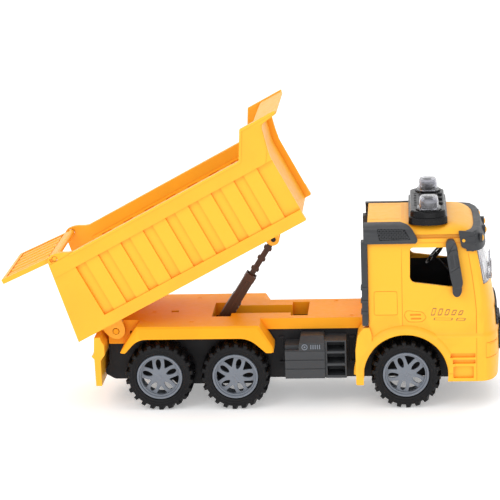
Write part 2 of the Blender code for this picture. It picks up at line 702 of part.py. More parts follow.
def sound_module(root, buttons):
    for side, y in (("right", -BEACON_Y), ("left", BEACON_Y)):
        node(f"beacon_{side}", beacon_mesh(y), CLEAR, root)
        lamp = join(post(BEACON_X, y, 2.5, 134.3, 142.0, 12), post(BEACON_X, y, 2.9, 134.3, 135.4, 12))
        node(f"beacon_led_{side}", lamp, CLEAR, root)
    board = block(BAR_X[0] + 2.4, BAR_X[1] - 2.4, -30.4, 30.4, 132.4, 134.0)
    node("circuit_board", board, GREEN, root)
    speaker = join(post(135, 0, 9.0, 122.0, 124.8, 24), post(135, 0, 6.0, 119.0, 122.4, 20))
    node("speaker", speaker, STEEL, root)
    for k, parent in buttons.items():
        cap = join(post(0, 0, 1.6, -3.0, 1.2, 12), post(0, 0, 2.1, -3.2, -2.0, 12))
        node(f"sound_button_{k + 2}", cap, BLACK, parent)


def battery_box(parent):
    door = block(138 + GAP, 171.6, -16.7, 16.7, 14.6, 16.5)
    door = join(door, block(138 + GAP, 163.7, -16.7, 16.7, 16.0, 18.6))
    node("battery_door", cut(door, post(168.2, 0, 1.4, 10, 20, 12)), BLACK, parent)
    screw = join(post(168.2, 0, 1.1, 13.6, 22.0, 10), post(168.2, 0, 2.4, 13.0, 14.3, 14))
    node("battery_screw", screw, STEEL, parent)
    for k in range(3):
        middle = (k - 1) * 5.7
        node(f"button_cell_{k + 1}", rod(151, 25.4, 5.8, middle - 2.7, middle + 2.7, 24), STEEL, parent)


def interior(parent):
    floor = block(96, 164, -36.4, 36.4, 58.0, 60.0)
    bench = slab([(98, 59.5), (122, 59.5), (122, 72), (108, 73), (104.0, 98), (99.0, 98)], -33, 33)
    dash = slab([(148, 59.5), (163, 59.5), (166.4, 84), (162, 85.4), (152, 82), (149, 74)], -33, 33)
    aisle = block(104.5, 130, -3, 3, 72, 110)
    column = slab([(140.6, 91.0), (141.8, 92.0), (154.0, 78.5), (151.8, 77.5)], 15.6, 17.2)
    node("interior", join(cut(join(floor, bench, dash), aisle), column), BLACK, parent)


def steering_wheel(parent):
    """A rim with three spokes on a hub, tipped towards the driver."""
    segments, tube_sides = 18, 5
    rings = []
    for i in range(segments):
        angle = 2 * math.pi * i / segments
        ring = []
        for j in range(tube_sides):
            turn = 2 * math.pi * j / tube_sides
            radius = 8.4 + 0.8 * math.cos(turn)
            ring.append((radius * math.cos(angle), radius * math.sin(angle), 0.8 * math.sin(turn)))
        rings.append(ring)
    wheel = loft(rings, closed=True)
    bars = []
    for turn in (0, 120, 240):
        bar = block(0, 8.4, -0.9, 0.9, -0.5, 0.5)
        bar.transform(Matrix.Rotation(math.radians(turn), 4, "Z"))
        bars.append(bar)
    wheel = join(wheel, post(0, 0, 2.2, -0.8, 0.9, 14), *bars)
    wheel.transform(Matrix.Rotation(math.radians(-48), 4, "Y"))
    node("steering_wheel", moved(wheel, 139.2, 16.4, 94.4), BLACK, parent)


# ---------------------------------------------------------------- tipping bed
def bed_point(u, v):
    """Side-view point measured from the bed's rear lower corner, given from the pivot."""
    return (BED_REAR + u, BED_BASE + v)


def bed_wall_mesh():
    """Right side wall: ribbed panel between a skirt and a rail, with the tall front cheek."""
    outline = [(0, 0), (BED_LENGTH, 0), (BED_LENGTH, RAIL_LOW), (182.9, 55.2), (187.3, 72.0), (199.4, 73.6),
               (199.9, 76.0), (173.0, 76.0), (161.9, BED_WALL), (29.0, BED_WALL), (21.0, 62.0), (15.0, 63.0),
               (11.4, 61.4), (BED_LEAN, BED_WALL)]
    wall = slab([bed_point(u, v) for u, v in outline], -BED_HALF, -BED_INNER)
    cuts = []
    panel_end = BED_LENGTH + 2
    starts = [RIB_FIRST + i * RIB_PITCH for i in range(RIBS)]
    edges = [RIB_FIRST - RIB_PITCH + RIB_WIDTH] + [s + RIB_WIDTH for s in starts]
    ends = starts + [panel_end]
    for start, end in zip(edges, ends):
        x0, z0 = bed_point(start, SKIRT_TOP)
        x1, z1 = bed_point(end, RAIL_LOW)
        cuts.append(block(x0, x1, -BED_HALF - 1, -PANEL_FACE, z0, z1))
    for start in starts:
        x0, z0 = bed_point(start, SKIRT_TOP)
        x1, z1 = bed_point(start + RIB_WIDTH, RAIL_LOW)
        cuts.append(block(x0, x1, -BED_HALF - 1, -RIB_FACE, z0, z1))
        cuts.append(block(x0 + 1.2, x1 - 1.2, -BED_INNER - 1.2, -BED_INNER + 1, z0 + 2.6, z1 - 1.2))
    px, pz = bed_point(*TAILGATE_PIN)
    cuts.append(rod(px, pz, 2.0, -BED_HALF - 1, -BED_INNER + 1, 12))
    return cut(wall, *cuts)


def dump_bed(parent):
    right = bed_wall_mesh()
    left = mirrored(right)
    overlap = BED_INNER + 0.6
    floor_low = BED_FLOOR
    floor = slab([bed_point(u, v) for u, v in ((1.2, floor_low), (176.6, floor_low),
                  (176.6, floor_low + FLOOR_THICK), (1.6, floor_low + FLOOR_THICK))], -overlap, overlap)
    head = slab([bed_point(u, v) for u, v in ((175.2, 0), (177, 0), (177, 48), (179, 56), (183.4, 73.4),
                 (199.9, 73.4), (199.9, 75.2), (181.9, 75.2), (177.2, 56.4), (175.2, 48.4))], -overlap, overlap)
    lugs = []
    for side in (-1, 1):
        y0, y1 = sorted((side * 23.8, side * 27.4))
        outline = [(-7.0, BED_BASE + 7), (-7.4, 4.0), (-4.6, -1.8), (0.0, -6.2), (4.2, -5.2), (6.6, -1.6),
                   (7.4, 4.6), (8.2, BED_BASE + 7)]
        lug = slab(outline, y0, y1)
        lugs.append(cut(lug, rod(0, 0, 2.4, -40, 40, 16)))
        y0, y1 = sorted((side * 2.9, side * 5.4))
        x, z = RAM_PIN
        lugs.append(slab([(x - 6.5, BED_BASE + 7), (x - 4.6, z - 1.0), (x - 3.0, z - 3.9), (x + 1.4, z - 4.4),
                          (x + 4.4, z - 1.6), (x + 6.5, BED_BASE + 7)], y0, y1))
    ribs = []
    for u in (30, 60, 90, 120):
        x0, z0 = bed_point(u, 3.2)
        ribs.append(block(x0, x0 + 1.6, -overlap, overlap, z0, BED_BASE + floor_low + 0.8))
    mesh = join(right, floor, left, head, *lugs, *ribs)
    node("dump_bed", mesh, YELLOW, parent)


def tailgate(parent):
    """Tray-shaped panel that hangs along -Z from its pins; its slatted outer face looks to -X."""
    low = -TAILGATE_LENGTH
    panel = slab([(-1.7, 1.2), (-1.7, low), (1.7, low), (1.7, 1.2), (0.8, 1.9), (-0.8, 1.9)],
                 -TAILGATE_HALF, TAILGATE_HALF)
    field = block(-3, -0.7, -TAILGATE_HALF + 3.2, TAILGATE_HALF - 3.2, low + 3.2, -4.6)
    panel = cut(panel, field)
    slats = []
    for k in range(5):
        z = -9.0 - k * 6.6
        slats.append(block(-1.6, -0.4, -TAILGATE_HALF + 3.0, TAILGATE_HALF - 3.0, z - 1.3, z + 1.3))
    right_pin = rod(0, 0, 1.6, 0.5 - BED_HALF, 1 - TAILGATE_HALF, 12)
    pins = [right_pin, mirrored(right_pin)]
    node("tailgate", join(panel, *slats, *pins), YELLOW, parent)


# ---------------------------------------------------------------- tipping ram
def ram_barrel(parent):
    """Square-bored outer tube along +X from its foot pin, with ratchet teeth on its front face."""
    tube = slab([(-3.8, -1.6), (-1.6, -3.9), (BARREL_LENGTH - 2, -3.9), (BARREL_LENGTH, -3.2),
                 (BARREL_LENGTH, 3.2), (BARREL_LENGTH - 2, 3.9), (-1.6, 3.9), (-3.8, 1.6)], -4.0, 4.0)
    bore = block(3.4, BARREL_LENGTH + 1, -2.3, 2.3, -3.15, 3.15)
    teeth = []
    for k in range(5):
        x = 10.0 + 3.2 * k
        teeth.append(slab([(x, -3.6), (x + 0.4, -4.7), (x + 1.9, -4.7), (x + 2.3, -3.6)], -2.6, 2.6))
    pins = [rod(0, 0, 1.8, *sorted((side * 3.6, side * 15.6)), 12) for side in (-1, 1)]
    node("ram_barrel", join(cut(tube, bore), *teeth, *pins), BROWN, parent)


def ram_rod(parent):
    """Inner rod along -X from its eye, with three pairs of ratchet knobs."""
    stem = block(-ROD_LENGTH, -1.0, -1.8, 1.8, -1.9, 1.9)
    eye = rod(0, 0, 2.6, -2.2, 2.2, 16)
    knobs = []
    for along in (8.3, 17.0, 25.8):
        knobs.append(slab([(-along - 1.2, -2.2), (-along - 0.6, -2.85), (-along + 0.6, -2.85), (-along + 1.2, -2.2),
                           (-along + 1.2, 2.2), (-along + 0.6, 2.85), (-along - 0.6, 2.85), (-along - 1.2, 2.2)],
                          -1.7, 1.7))
    mesh = cut(join(stem, eye, *knobs), rod(0, 0, 1.1, -5, 5, 12))
    node("ram_rod", mesh, BROWN, parent)


# ---------------------------------------------------------------- assembly
def build():
    clear_scene()
    truck = empty("truck", (TRUCK_SHIFT, 0, 0))

    chassis(truck)
    deck(truck)
    bed_hinge_pin(truck)
    rear_bumper(truck)
    for side, mesh in sides(side_box_mesh).items():
        node(f"side_box_{side}", mesh, GREY, truck)

    axles = {}
    for place, x in AXLE_X.items():
        axles[place] = empty(f"{place}_axle_axis", (x, 0, AXLE_HEIGHT), truck)
    wheels(axles)
    idler = empty("idler_axis", (MOTOR_IDLER[0], 0, MOTOR_IDLER[1]), truck)
    flywheel = empty("flywheel_axis", (MOTOR_WHEEL[0], 0, MOTOR_WHEEL[1]), truck)
    friction_motor(truck, axles["middle"], idler, flywheel)

    cab_shell(truck)
    windshield(truck)
    front_grille(truck)
    roof_visor(truck)
    visor_lamps(truck)
    for side, mesh in sides(fairing_mesh).items():
        node(f"side_fairing_{side}", mesh, GREY, truck)
    for side, mesh in sides(mirror_mesh).items():
        node(f"mirror_{side}", mesh, GREY, truck)
    interior(truck)
    steering_wheel(truck)
    light_bar(truck)
    buttons = {}
    for k in (-1, 0, 1):
        buttons[k] = empty(f"button_axis_{k + 2}", (BUTTON_X, k * BUTTON_SPACING, BAR_TOP), truck)
    sound_module(truck, buttons)
    battery_box(truck)

    bed_axis = empty("bed_axis", (BED_PIVOT[0], 0, BED_PIVOT[1]), truck, BED_TIP_ANGLE)
    dump_bed(bed_axis)
    gate_x, gate_z = bed_point(*TAILGATE_PIN)
    lean = math.degrees(math.atan2(BED_LEAN, BED_WALL))
    gate_axis = empty("tailgate_axis", (gate_x, 0, gate_z), bed_axis, -TAILGATE_OPEN - lean)
    tailgate(gate_axis)

    ram_axis = empty("ram_axis", (RAM_FOOT[0], 0, RAM_FOOT[1]), truck, RAM_ANGLE)
    ram_barrel(ram_axis)
    ram_rod(empty("rod_axis", (RAM_LENGTH, 0, 0), ram_axis))


build()
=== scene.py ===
"""Looks for the toy tipper truck: detailed pieces, materials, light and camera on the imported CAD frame."""

import json
import math

import bmesh
import bpy
from mathutils import Matrix, Vector


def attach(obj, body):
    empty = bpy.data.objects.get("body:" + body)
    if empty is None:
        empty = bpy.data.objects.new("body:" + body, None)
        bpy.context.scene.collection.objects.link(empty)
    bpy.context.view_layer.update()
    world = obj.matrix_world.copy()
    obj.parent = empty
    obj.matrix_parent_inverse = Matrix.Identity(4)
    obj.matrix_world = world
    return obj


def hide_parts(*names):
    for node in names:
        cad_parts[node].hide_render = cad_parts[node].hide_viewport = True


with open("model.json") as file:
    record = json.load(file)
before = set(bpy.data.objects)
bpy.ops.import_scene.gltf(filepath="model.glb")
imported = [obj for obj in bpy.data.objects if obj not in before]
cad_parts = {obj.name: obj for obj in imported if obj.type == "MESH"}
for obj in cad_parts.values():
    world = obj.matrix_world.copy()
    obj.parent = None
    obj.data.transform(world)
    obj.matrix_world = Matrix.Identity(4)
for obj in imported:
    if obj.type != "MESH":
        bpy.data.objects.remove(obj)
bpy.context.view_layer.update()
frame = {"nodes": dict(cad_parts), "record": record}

MM = 0.001

# Lengths are in millimetres in the truck's own frame: X forward from the middle axle, Z up from the ground.
MIDDLE_AXLE_X = -11.95
AXLE_HEIGHT = 24.058
AXLE_X = {"rear": -52.8, "middle": 0, "front": 118}
WHEEL_Y = 32
GAP = 0.3

# bed: its pivot, the angle it stands at, its rear lower corner from the pivot, and the rest from that corner
BED_PIVOT = (-83.5, 54)
BED_TIP = 27.8
BED_REAR, BED_BASE = -23.7, 8
BED_LENGTH, BED_HALF, BED_INNER = 181.5, 39, 35.4
BED_RAIL, BED_RAIL_LOW, BED_SKIRT = 57.5, 47.6, 8.4
RIB_FIRST, RIB_PITCH, RIB_WIDTH, RIBS = 33.8, 17.95, 10.2, 8
TAILGATE_PIN = (16.3, 59.5)
TAILGATE_TURN = 83.3 + math.degrees(math.atan2(10.4, 57.5))
GATE_LENGTH, GATE_HALF = 42.1, 34.6

# ram: its upper pin from the bed's pivot, and its foot, angle and length between pins
RAM_PIN = (125.3, 0.3)
RAM_FOOT = (-14.7, 47)
RAM_ANGLE = 57.3
RAM_LENGTH = 77.7

# deck, cab and light bar
DECK_TOP = 60.8
DECK_HALF, FENDER_HALF = 23, 41.4
CAB_REAR = 93.3
ROOF_TOP = 130
BAR_TOP = 138.5
BEACON_X, BEACON_Y = 135.2, 27.2
LAMP_Y = (-34, -12, 12, 34)
LAMP_Z = 119.4
LAMP_CUP = 3.3


def turn_y(degrees):
    """Lifts the +X end by this angle."""
    return Matrix.Rotation(-math.radians(degrees), 4, "Y")


def at(x, y, z):
    return Matrix.Translation(Vector((x, y, z)) * MM)


TRUCK = at(MIDDLE_AXLE_X, 0, 0)
BED = TRUCK @ at(BED_PIVOT[0], 0, BED_PIVOT[1]) @ turn_y(BED_TIP)
GATE = BED @ at(BED_REAR + TAILGATE_PIN[0], 0, BED_BASE + TAILGATE_PIN[1]) @ turn_y(-TAILGATE_TURN)
RAM = TRUCK @ at(RAM_FOOT[0], 0, RAM_FOOT[1]) @ turn_y(RAM_ANGLE)
ROD = RAM @ at(RAM_LENGTH, 0, 0)


# ---------------- materials
# how far the painted shade in grooves and inner corners reaches
PAINTED_SHADE_REACH = 0.004


def fill(node, **values):
    """Sets a node's inputs; an underscore stands for a space in an input's name."""
    for key, value in values.items():
        node.inputs[key.replace("_", " ")].default_value = value
    return node


class Nodes:
    """Short calls for building a shader."""

    def __init__(self, name):
        self.material = bpy.data.materials.new(name)
        self.material.use_nodes = True
        self.tree = self.material.node_tree
        self.shader = self.tree.nodes["Principled BSDF"]

    def add(self, kind, **settings):
        made = self.tree.nodes.new(kind)
        for key, value in settings.items():
            setattr(made, key, value)
        return made

    def link(self, source, target):
        self.tree.links.new(source, target)

    def where(self):
        return self.add("ShaderNodeTexCoord").outputs["Object"]

    def noise(self, scale, detail=2, stretch=None):
        texture = fill(self.add("ShaderNodeTexNoise"), Scale=scale, Detail=detail)
        place = self.where()
        if stretch:
            mapping = fill(self.add("ShaderNodeMapping"), Scale=stretch)
            self.link(place, mapping.inputs["Vector"])
            place = mapping.outputs["Vector"]
        self.link(place, texture.inputs["Vector"])
        return texture.outputs["Fac"]

    def spread(self, value, low, high, start=0.3, end=0.7):
        """Maps a value that runs from start to end onto low to high."""
        node = fill(self.add("ShaderNodeMapRange"), From_Min=start, From_Max=end, To_Min=low, To_Max=high)
        self.link(value, node.inputs["Value"])
        return node.outputs["Result"]

    def blend(self, factor, first, second):
        node = self.add("ShaderNodeMix", data_type="RGBA")
        self.link(factor, node.inputs[0])
        for socket, colour in ((node.inputs[6], first), (node.inputs[7], second)):
            if isinstance(colour, tuple):
                socket.default_value = colour
            else:
                self.link(colour, socket)
        return node.outputs[2]

    def sheltered(self, reach):
        """Runs from 0 on open surfaces to 1 in grooves and inner corners narrower than the reach."""
        node = fill(self.add("ShaderNodeAmbientOcclusion", samples=6), Distance=reach)
        return self.spread(node.outputs["AO"], 1, 0, 0.3, 0.92)

    def bump(self, height, strength, distance):
        node = fill(self.add("ShaderNodeBump"), Strength=strength, Distance=distance)
        self.link(height, node.inputs["Height"])
        self.link(node.outputs["Normal"], self.shader.inputs["Normal"])

    def surface(self, colour, rough, **values):
        """Joins up the colour and the roughness and sets the shader's other inputs."""
        self.link(colour, self.shader.inputs["Base Color"])
        self.link(rough, self.shader.inputs["Roughness"])
        fill(self.shader, **values)
        return self.material


def shade(colour, factor):
    return tuple(min(1, c * factor) for c in colour[:3]) + (1,)


def plastic(name, colour, rough, grain=0.12, edge=1.06, coat=0, variation=0.05, gloss=0.5, painted_recess_shade=None):
    """Moulded plastic: slow colour drift, a fine grain, lighter sharp edges and, when a recess colour is
    given, painted shade: a darker, deeper colour in grooves and inner corners.
    """
    n = Nodes(name)
    drift = n.spread(n.noise(45, 3), 0, 1)
    body = n.blend(drift, shade(colour, 1 - variation), shade(colour, 1 + variation * 0.6))
    # sharp convex edges are made lighter
    pointed = n.add("ShaderNodeNewGeometry").outputs["Pointiness"]
    lighter_edges = n.spread(pointed, 0, 1, 0.53, 0.62)
    body = n.blend(lighter_edges, body, shade(colour, edge))
    # painted shade: grooves and inner corners turn towards the darker, deeper recess colour
    if painted_recess_shade:
        body = n.blend(n.sheltered(PAINTED_SHADE_REACH), body, shade(painted_recess_shade, 1))
    n.bump(n.noise(2600, 3), grain, 0.00012)
    matt = n.spread(n.noise(260, 4), rough - 0.05, rough + 0.07)
    return n.surface(body, matt, Specular_IOR_Level=gloss, Coat_Weight=coat, Coat_Roughness=0.12)


def clear_plastic(name, tint, rough=0.06):
    n = Nodes(name)
    streak = n.spread(n.noise(140, 2), 0, 1)
    n.bump(n.noise(900, 1), 0.05, 0.0001)
    matt = n.spread(n.noise(500, 2), rough, rough + 0.06)
    tone = n.blend(streak, shade(tint, 0.97), shade(tint, 1))
    return n.surface(tone, matt, Transmission_Weight=0.92, IOR=1.46)


def metal(name, colour, rough, stretch=(1, 30, 1)):
    """Steel with fine turning marks along one axis."""
    n = Nodes(name)
    marks = n.noise(700, 4, stretch)
    n.bump(marks, 0.08, 0.00008)
    tone = n.blend(n.spread(marks, 0, 1), shade(colour, 0.88), shade(colour, 1.05))
    return n.surface(tone, n.spread(marks, rough - 0.06, rough + 0.1), Metallic=1)


def rubber(name, colour):
    """Dark tyre plastic with a mottled sheen."""
    n = Nodes(name)
    mottle = n.spread(n.noise(90, 5), 0, 1)
    n.bump(n.noise(1500, 4), 0.16, 0.00015)
    tone = n.blend(mottle, shade(colour, 0.8), shade(colour, 1.25))
    return n.surface(tone, n.spread(n.noise(400, 4), 0.36, 0.54), Specular_IOR_Level=0.2)


def board(name):
    """Printed board: green lacquer over faint copper tracks."""
    n = Nodes(name)
    tracks = fill(n.add("ShaderNodeTexBrick"), Scale=160, Color1=(0.02, 0.16, 0.05, 1),
                  Color2=(0.03, 0.22, 0.08, 1), Mortar=(0.16, 0.3, 0.1, 1))
    n.link(n.where(), tracks.inputs["Vector"])
    return n.surface(tracks.outputs["Color"], n.spread(n.noise(300), 0.3, 0.42))


LOOKS = {
    # the yellows carry painted shade: a darker, deeper orange in their grooves and inner corners
    "body_yellow": plastic("moulded_yellow", (0.97, 0.465, 0.022), 0.4, coat=0.04, gloss=0.34,
                           painted_recess_shade=(0.9, 0.3, 0.008)),
    # deck: the plastic's own yellow, pushed deeper orange than the body's as a painted reflection of bounce
    # light from the yellow bed
    "deck_yellow": plastic("deck_yellow_painted_bounce", (0.98, 0.395, 0.012), 0.45, gloss=0.16,
                           painted_recess_shade=(0.88, 0.24, 0.006)),
    "chassis_black": plastic("chassis_moulded_black", (0.012, 0.012, 0.014), 0.5, grain=0.2, edge=1.9,
                             gloss=0.22),
    "tyre_black": rubber("tyre_rubber", (0.005, 0.005, 0.006)),
    "trim_grey": plastic("trim_moulded_grey", (0.04, 0.042, 0.046), 0.46, grain=0.2, edge=1.35, gloss=0.3),
    "rim_grey": plastic("rim_moulded_grey", (0.17, 0.19, 0.225), 0.4, grain=0.14, edge=1.12),
    "ram_brown": plastic("ram_moulded_brown", (0.062, 0.024, 0.01), 0.42, grain=0.16, edge=1.5, gloss=0.3),
    "gloss_black": plastic("bar_gloss_black", (0.005, 0.005, 0.006), 0.25, grain=0.03, edge=1.4, gloss=0.2),
    "clear_plastic": clear_plastic("clear_moulded", (0.9, 0.9, 0.94)),
    "steel": metal("bright_steel", (0.56, 0.57, 0.59), 0.28),
    "gear_white": plastic("gear_natural_white", (0.82, 0.81, 0.77), 0.42),
    "flywheel_zinc": metal("cast_zinc", (0.48, 0.48, 0.49), 0.42, (8, 1, 8)),
    "board_green": board("printed_board"),
}
SMOKE = clear_plastic("smoked_lens", (0.62, 0.62, 0.66), 0.05)
INK = plastic("printed_brown", (0.36, 0.145, 0.04), 0.5, grain=0.05, variation=0.12)
SLOTS = {entry["node"]: entry["material_slot"] for entry in frame["record"]["subparts"]}
BODY_OF = {n: body for body, names in frame["record"]["behaviour"]["bodies"].items() for n in names}

for node_name, obj in frame["nodes"].items():
    obj.data.materials.clear()
    obj.data.materials.append(LOOKS[SLOTS[node_name]])


# ---------------- mesh helpers
def placed(name, data):
    obj = bpy.data.objects.new(name, data)
    bpy.context.collection.objects.link(obj)
    return obj


def as_mesh(bm):
    mesh = bpy.data.meshes.new("shape")
    bm.to_mesh(mesh)
    bm.free()
    return mesh


def loft(rings, closed=False):
    """Skin over equal-length rings of points in mm; its ends are capped unless it closes on itself."""
    bm = bmesh.new()
    grid = [[bm.verts.new(point) for point in ring] for ring in rings]
    count = len(grid[0])
    for row in range(len(grid) if closed else len(grid) - 1):
        lower = grid[row]
        upper = grid[(row + 1) % len(grid)]
        for i in range(count):
            j = (i + 1) % count
            bm.faces.new((lower[i], lower[j], upper[j], upper[i]))
    if not closed:
        bm.faces.new(list(reversed(grid[0])))
        bm.faces.new(grid[-1])
    bmesh.ops.remove_doubles(bm, verts=bm.verts, dist=1e-4)
    bmesh.ops.recalc_face_normals(bm, faces=bm.faces)
    bmesh.ops.scale(bm, vec=(MM, MM, MM), verts=bm.verts)
    return as_mesh(bm)


def slab(outline, low, high):
    return loft([[(x, y, z) for x, z in outline] for y in (low, high)])


def plate(outline, low, high):
    return loft([[(x, y, z) for x, y in outline] for z in (low, high)])


def block(x0, x1, y0, y1, z0, z1):
    return slab([(x0, z0), (x1, z0), (x1, z1), (x0, z1)], y0, y1)


def turned(profile, segments, start=0, sweep=360):
    """Revolves a closed (radius, y) profile about Y; a part turn gets end caps."""
    full = sweep >= 360
    count = segments if full else segments + 1
    rings = []
    for i in range(count):
        angle = math.radians(start + sweep * i / segments)
        rings.append([(r * math.cos(angle), y, r * math.sin(angle)) for r, y in profile])
    return loft(rings, closed=full)


def disc_outline(cx, cz, radius, segments):
    step = 2 * math.pi / segments
    return [(cx + radius * math.cos(i * step), cz + radius * math.sin(i * step)) for i in range(segments)]


def rod(cx, cz, radius, y0, y1, segments=32):
    return slab(disc_outline(cx, cz, radius, segments), y0, y1)


def post(cx, cy, radius, z0, z1, segments=32):
    return plate(disc_outline(cx, cy, radius, segments), z0, z1)


def rounded(points, radius, steps=4):
    """The polygon with each corner replaced by an arc; radius is one length, or one for each corner."""
    made = []
    count = len(points)
    radii = [radius] * count if isinstance(radius, (int, float)) else radius
    for i, (point, radius) in enumerate(zip(points, radii)):
        here = Vector(point)
        before = Vector(points[i - 1]) - here
        after = Vector(points[(i + 1) % count]) - here
        reach = min(radius, before.length * 0.45, after.length * 0.45)
        first = here + before.normalized() * reach
        last = here + after.normalized() * reach
        for k in range(steps + 1):
            t = k / steps
            bend = first * (1 - t) ** 2 + here * (2 * t * (1 - t)) + last * t ** 2
            made.append((bend.x, bend.y))
    return made


def shrunk(outline, width):
    """The outline shrunk towards its own middle by about width."""
    middle = sum((Vector(p) for p in outline), Vector((0, 0))) / len(outline)
    made = []
    for point in outline:
        arm = Vector(point) - middle
        made.append(tuple(middle + arm * (1 - width / arm.length)))
    return made


def combine(base, tools, operation):
    """Boolean the tools into the base mesh, one after another."""
    holder = placed("holder", base)
    helpers = []
    for tool in tools:
        helper = placed("helper", tool)
        helpers.append(helper)
        step = holder.modifiers.new("step", "BOOLEAN")
        step.operation = operation
        step.solver = "EXACT"
        step.object = helper
    graph = bpy.context.evaluated_depsgraph_get()
    result = bpy.data.meshes.new_from_object(holder.evaluated_get(graph))
    for helper in helpers + [holder]:
        bpy.data.objects.remove(helper, do_unlink=True)
    return result


def cut(base, *tools):
    return combine(base, tools, "DIFFERENCE") if tools else base


def join(base, *tools):
    return combine(base, tools, "UNION")


def common(base, *tools):
    return combine(base, tools, "INTERSECT")


def heap(*meshes):
    """All the meshes as one, without joining their surfaces."""
    bm = bmesh.new()
    for mesh in meshes:
        bm.from_mesh(mesh)
    return as_mesh(bm)


def transformed(mesh, matrix):
    copy = mesh.copy()
    copy.transform(matrix)
    return copy


def moved(mesh, x, y, z):
    return transformed(mesh, at(x, y, z))


def spun(mesh, axis, degrees):
    return transformed(mesh, Matrix.Rotation(math.radians(degrees), 4, axis))


def mirrored(mesh):
    copy = transformed(mesh, Matrix.Scale(-1, 4, (0, 1, 0)))
    copy.flip_normals()
    return copy


# what turns the right side's mesh into each side's
SIDES = {"right": lambda mesh: mesh, "left": mirrored}


def both(mesh):
    """The right side's mesh with its mirror image."""
    return [mesh, mirrored(mesh)]


def merged(mesh, gap):
    """The mesh, opened for editing, with its points and edges closer than the gap (metres) merged."""
    bm = bmesh.new()
    bm.from_mesh(mesh)
    bmesh.ops.remove_doubles(bm, verts=bm.verts, dist=gap)
    bmesh.ops.dissolve_degenerate(bm, edges=bm.edges, dist=gap)
    return bm


def flat_faces(mesh):
    """Merges doubled points and coplanar triangles."""
    bm = merged(mesh, 2e-6)
    bmesh.ops.dissolve_limit(bm, angle_limit=math.radians(0.4), verts=bm.verts, edges=bm.edges)
    bmesh.ops.recalc_face_normals(bm, faces=bm.faces)
    return as_mesh(bm)


def without_slivers(mesh):
    """Removes the zero-length edges that a bevel leaves, which would spoil the shading."""
    bm = merged(mesh, 1.5e-6)
    bmesh.ops.triangulate(bm, faces=[f for f in bm.faces if len(f.verts) > 4])
    return as_mesh(bm)


def piece(name, mesh, look, body="truck", stands_for=(), place=TRUCK, bevel=0, segments=2, corner=28,
          clean=True):
    """A shown piece: its edges are rounded, and it rides on a body in place of CAD nodes."""
    shape = flat_faces(mesh) if clean else mesh.copy()
    shape.transform(place)
    maker = placed("maker", shape)
    if bevel:
        edge = maker.modifiers.new("edge", "BEVEL")
        edge.width = bevel * MM
        edge.segments = segments
        edge.limit_method = "ANGLE"
        edge.angle_limit = math.radians(corner)
        edge.miter_outer = "MITER_ARC"
    shape.shade_smooth()
    graph = bpy.context.evaluated_depsgraph_get()
    made = bpy.data.meshes.new_from_object(maker.evaluated_get(graph))
    bpy.data.objects.remove(maker, do_unlink=True)
    if bevel:
        made = without_slivers(made)
    made.name = name
    made.shade_smooth()
    made.set_sharp_from_angle(angle=math.radians(32 if bevel else 35))
    made.materials.clear()
    slot = look if isinstance(look, str) else None
    made.materials.append(LOOKS[look] if slot else look)
    obj = placed(name, made)
    if bevel:
        even = obj.modifiers.new("even_normals", "WEIGHTED_NORMAL")
        even.keep_sharp = True
    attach(obj, body)
    if stands_for:
        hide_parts(*stands_for)
        slot = slot or SLOTS[stands_for[0]]
    slot or "body_yellow"


def skin(node, mesh, name=None, look=None, **settings):
    """A piece that stands for one CAD node, with that node's look and body."""
    piece(name or node + "_skin", mesh, look or SLOTS[node], BODY_OF[node], (node,), **settings)


# ---------------- wheels
TYRE_LUGS = 22
# share of a lug's pitch, and whether the section there is a lug's or a groove's
LUG_STEPS = ((0, 0), (0.06, 1), (0.46, 1), (0.52, 0), (0.76, 0))


def tyre_ring(points, angle):
    """Section of the tyre at an angle round its axle; the tread leans forward towards its middle."""
    half = []
    for radius, y in points:
        lean = 0.055 * max(0, 1 - abs(y) / 8.5) if radius > 20.6 else 0
        half.append((radius * math.cos(angle + lean), y, radius * math.sin(angle + lean)))
    return [(x, -y, z) for x, y, z in half] + half[::-1]


def tyre_mesh():
    """Right tyre: smooth sidewall with a raised ring, and slanted lugs that run over both shoulders."""
    side = [(16.3, 6.9), (16.5, 7.9), (17.2, 8.32), (17.9, 8.4), (18.2, 8.2), (18.5, 8.2), (18.8, 8.45),
            (19.3, 8.5), (19.6, 8.3), (20.4, 8.2)]
    lug = [(20.9, 8.4), (21.6, 8.5), (23.1, 8.4), (23.75, 7.8), (24.05, 6.6), (24.05, 3.2), (24.05, -0.4),
           (22.5, -0.9)]
    groove = [(20.8, 8.1), (21.2, 7.9), (21.7, 7.4), (22, 6.7), (22.2, 5.8), (22.3, 3.2), (22.35, 1.2),
              (22.35, 0.6)]
    rings = []
    for k in range(TYRE_LUGS):
        for share, on_lug in LUG_STEPS:
            angle = 2 * math.pi * (k + share) / TYRE_LUGS
            rings.append(tyre_ring(side + (lug if on_lug else groove), angle))
    return loft(rings, closed=True)


def polar(radius, degrees):
    return (radius * math.cos(math.radians(degrees)), radius * math.sin(math.radians(degrees)))


def teardrop(axis):
    """Rounded slot along a spoke pair's axis, widest near its outer end."""
    points = []
    for k in range(18):
        turn = 2 * math.pi * k / 18
        along = 8.7 - 3.7 * math.cos(turn)
        across = 2.2 * math.sin(turn) * (0.66 + 0.34 * (along - 5) / 7.4)
        a = math.radians(axis)
        points.append((along * math.cos(a) - across * math.sin(a),
                       along * math.sin(a) + across * math.cos(a)))
    return points


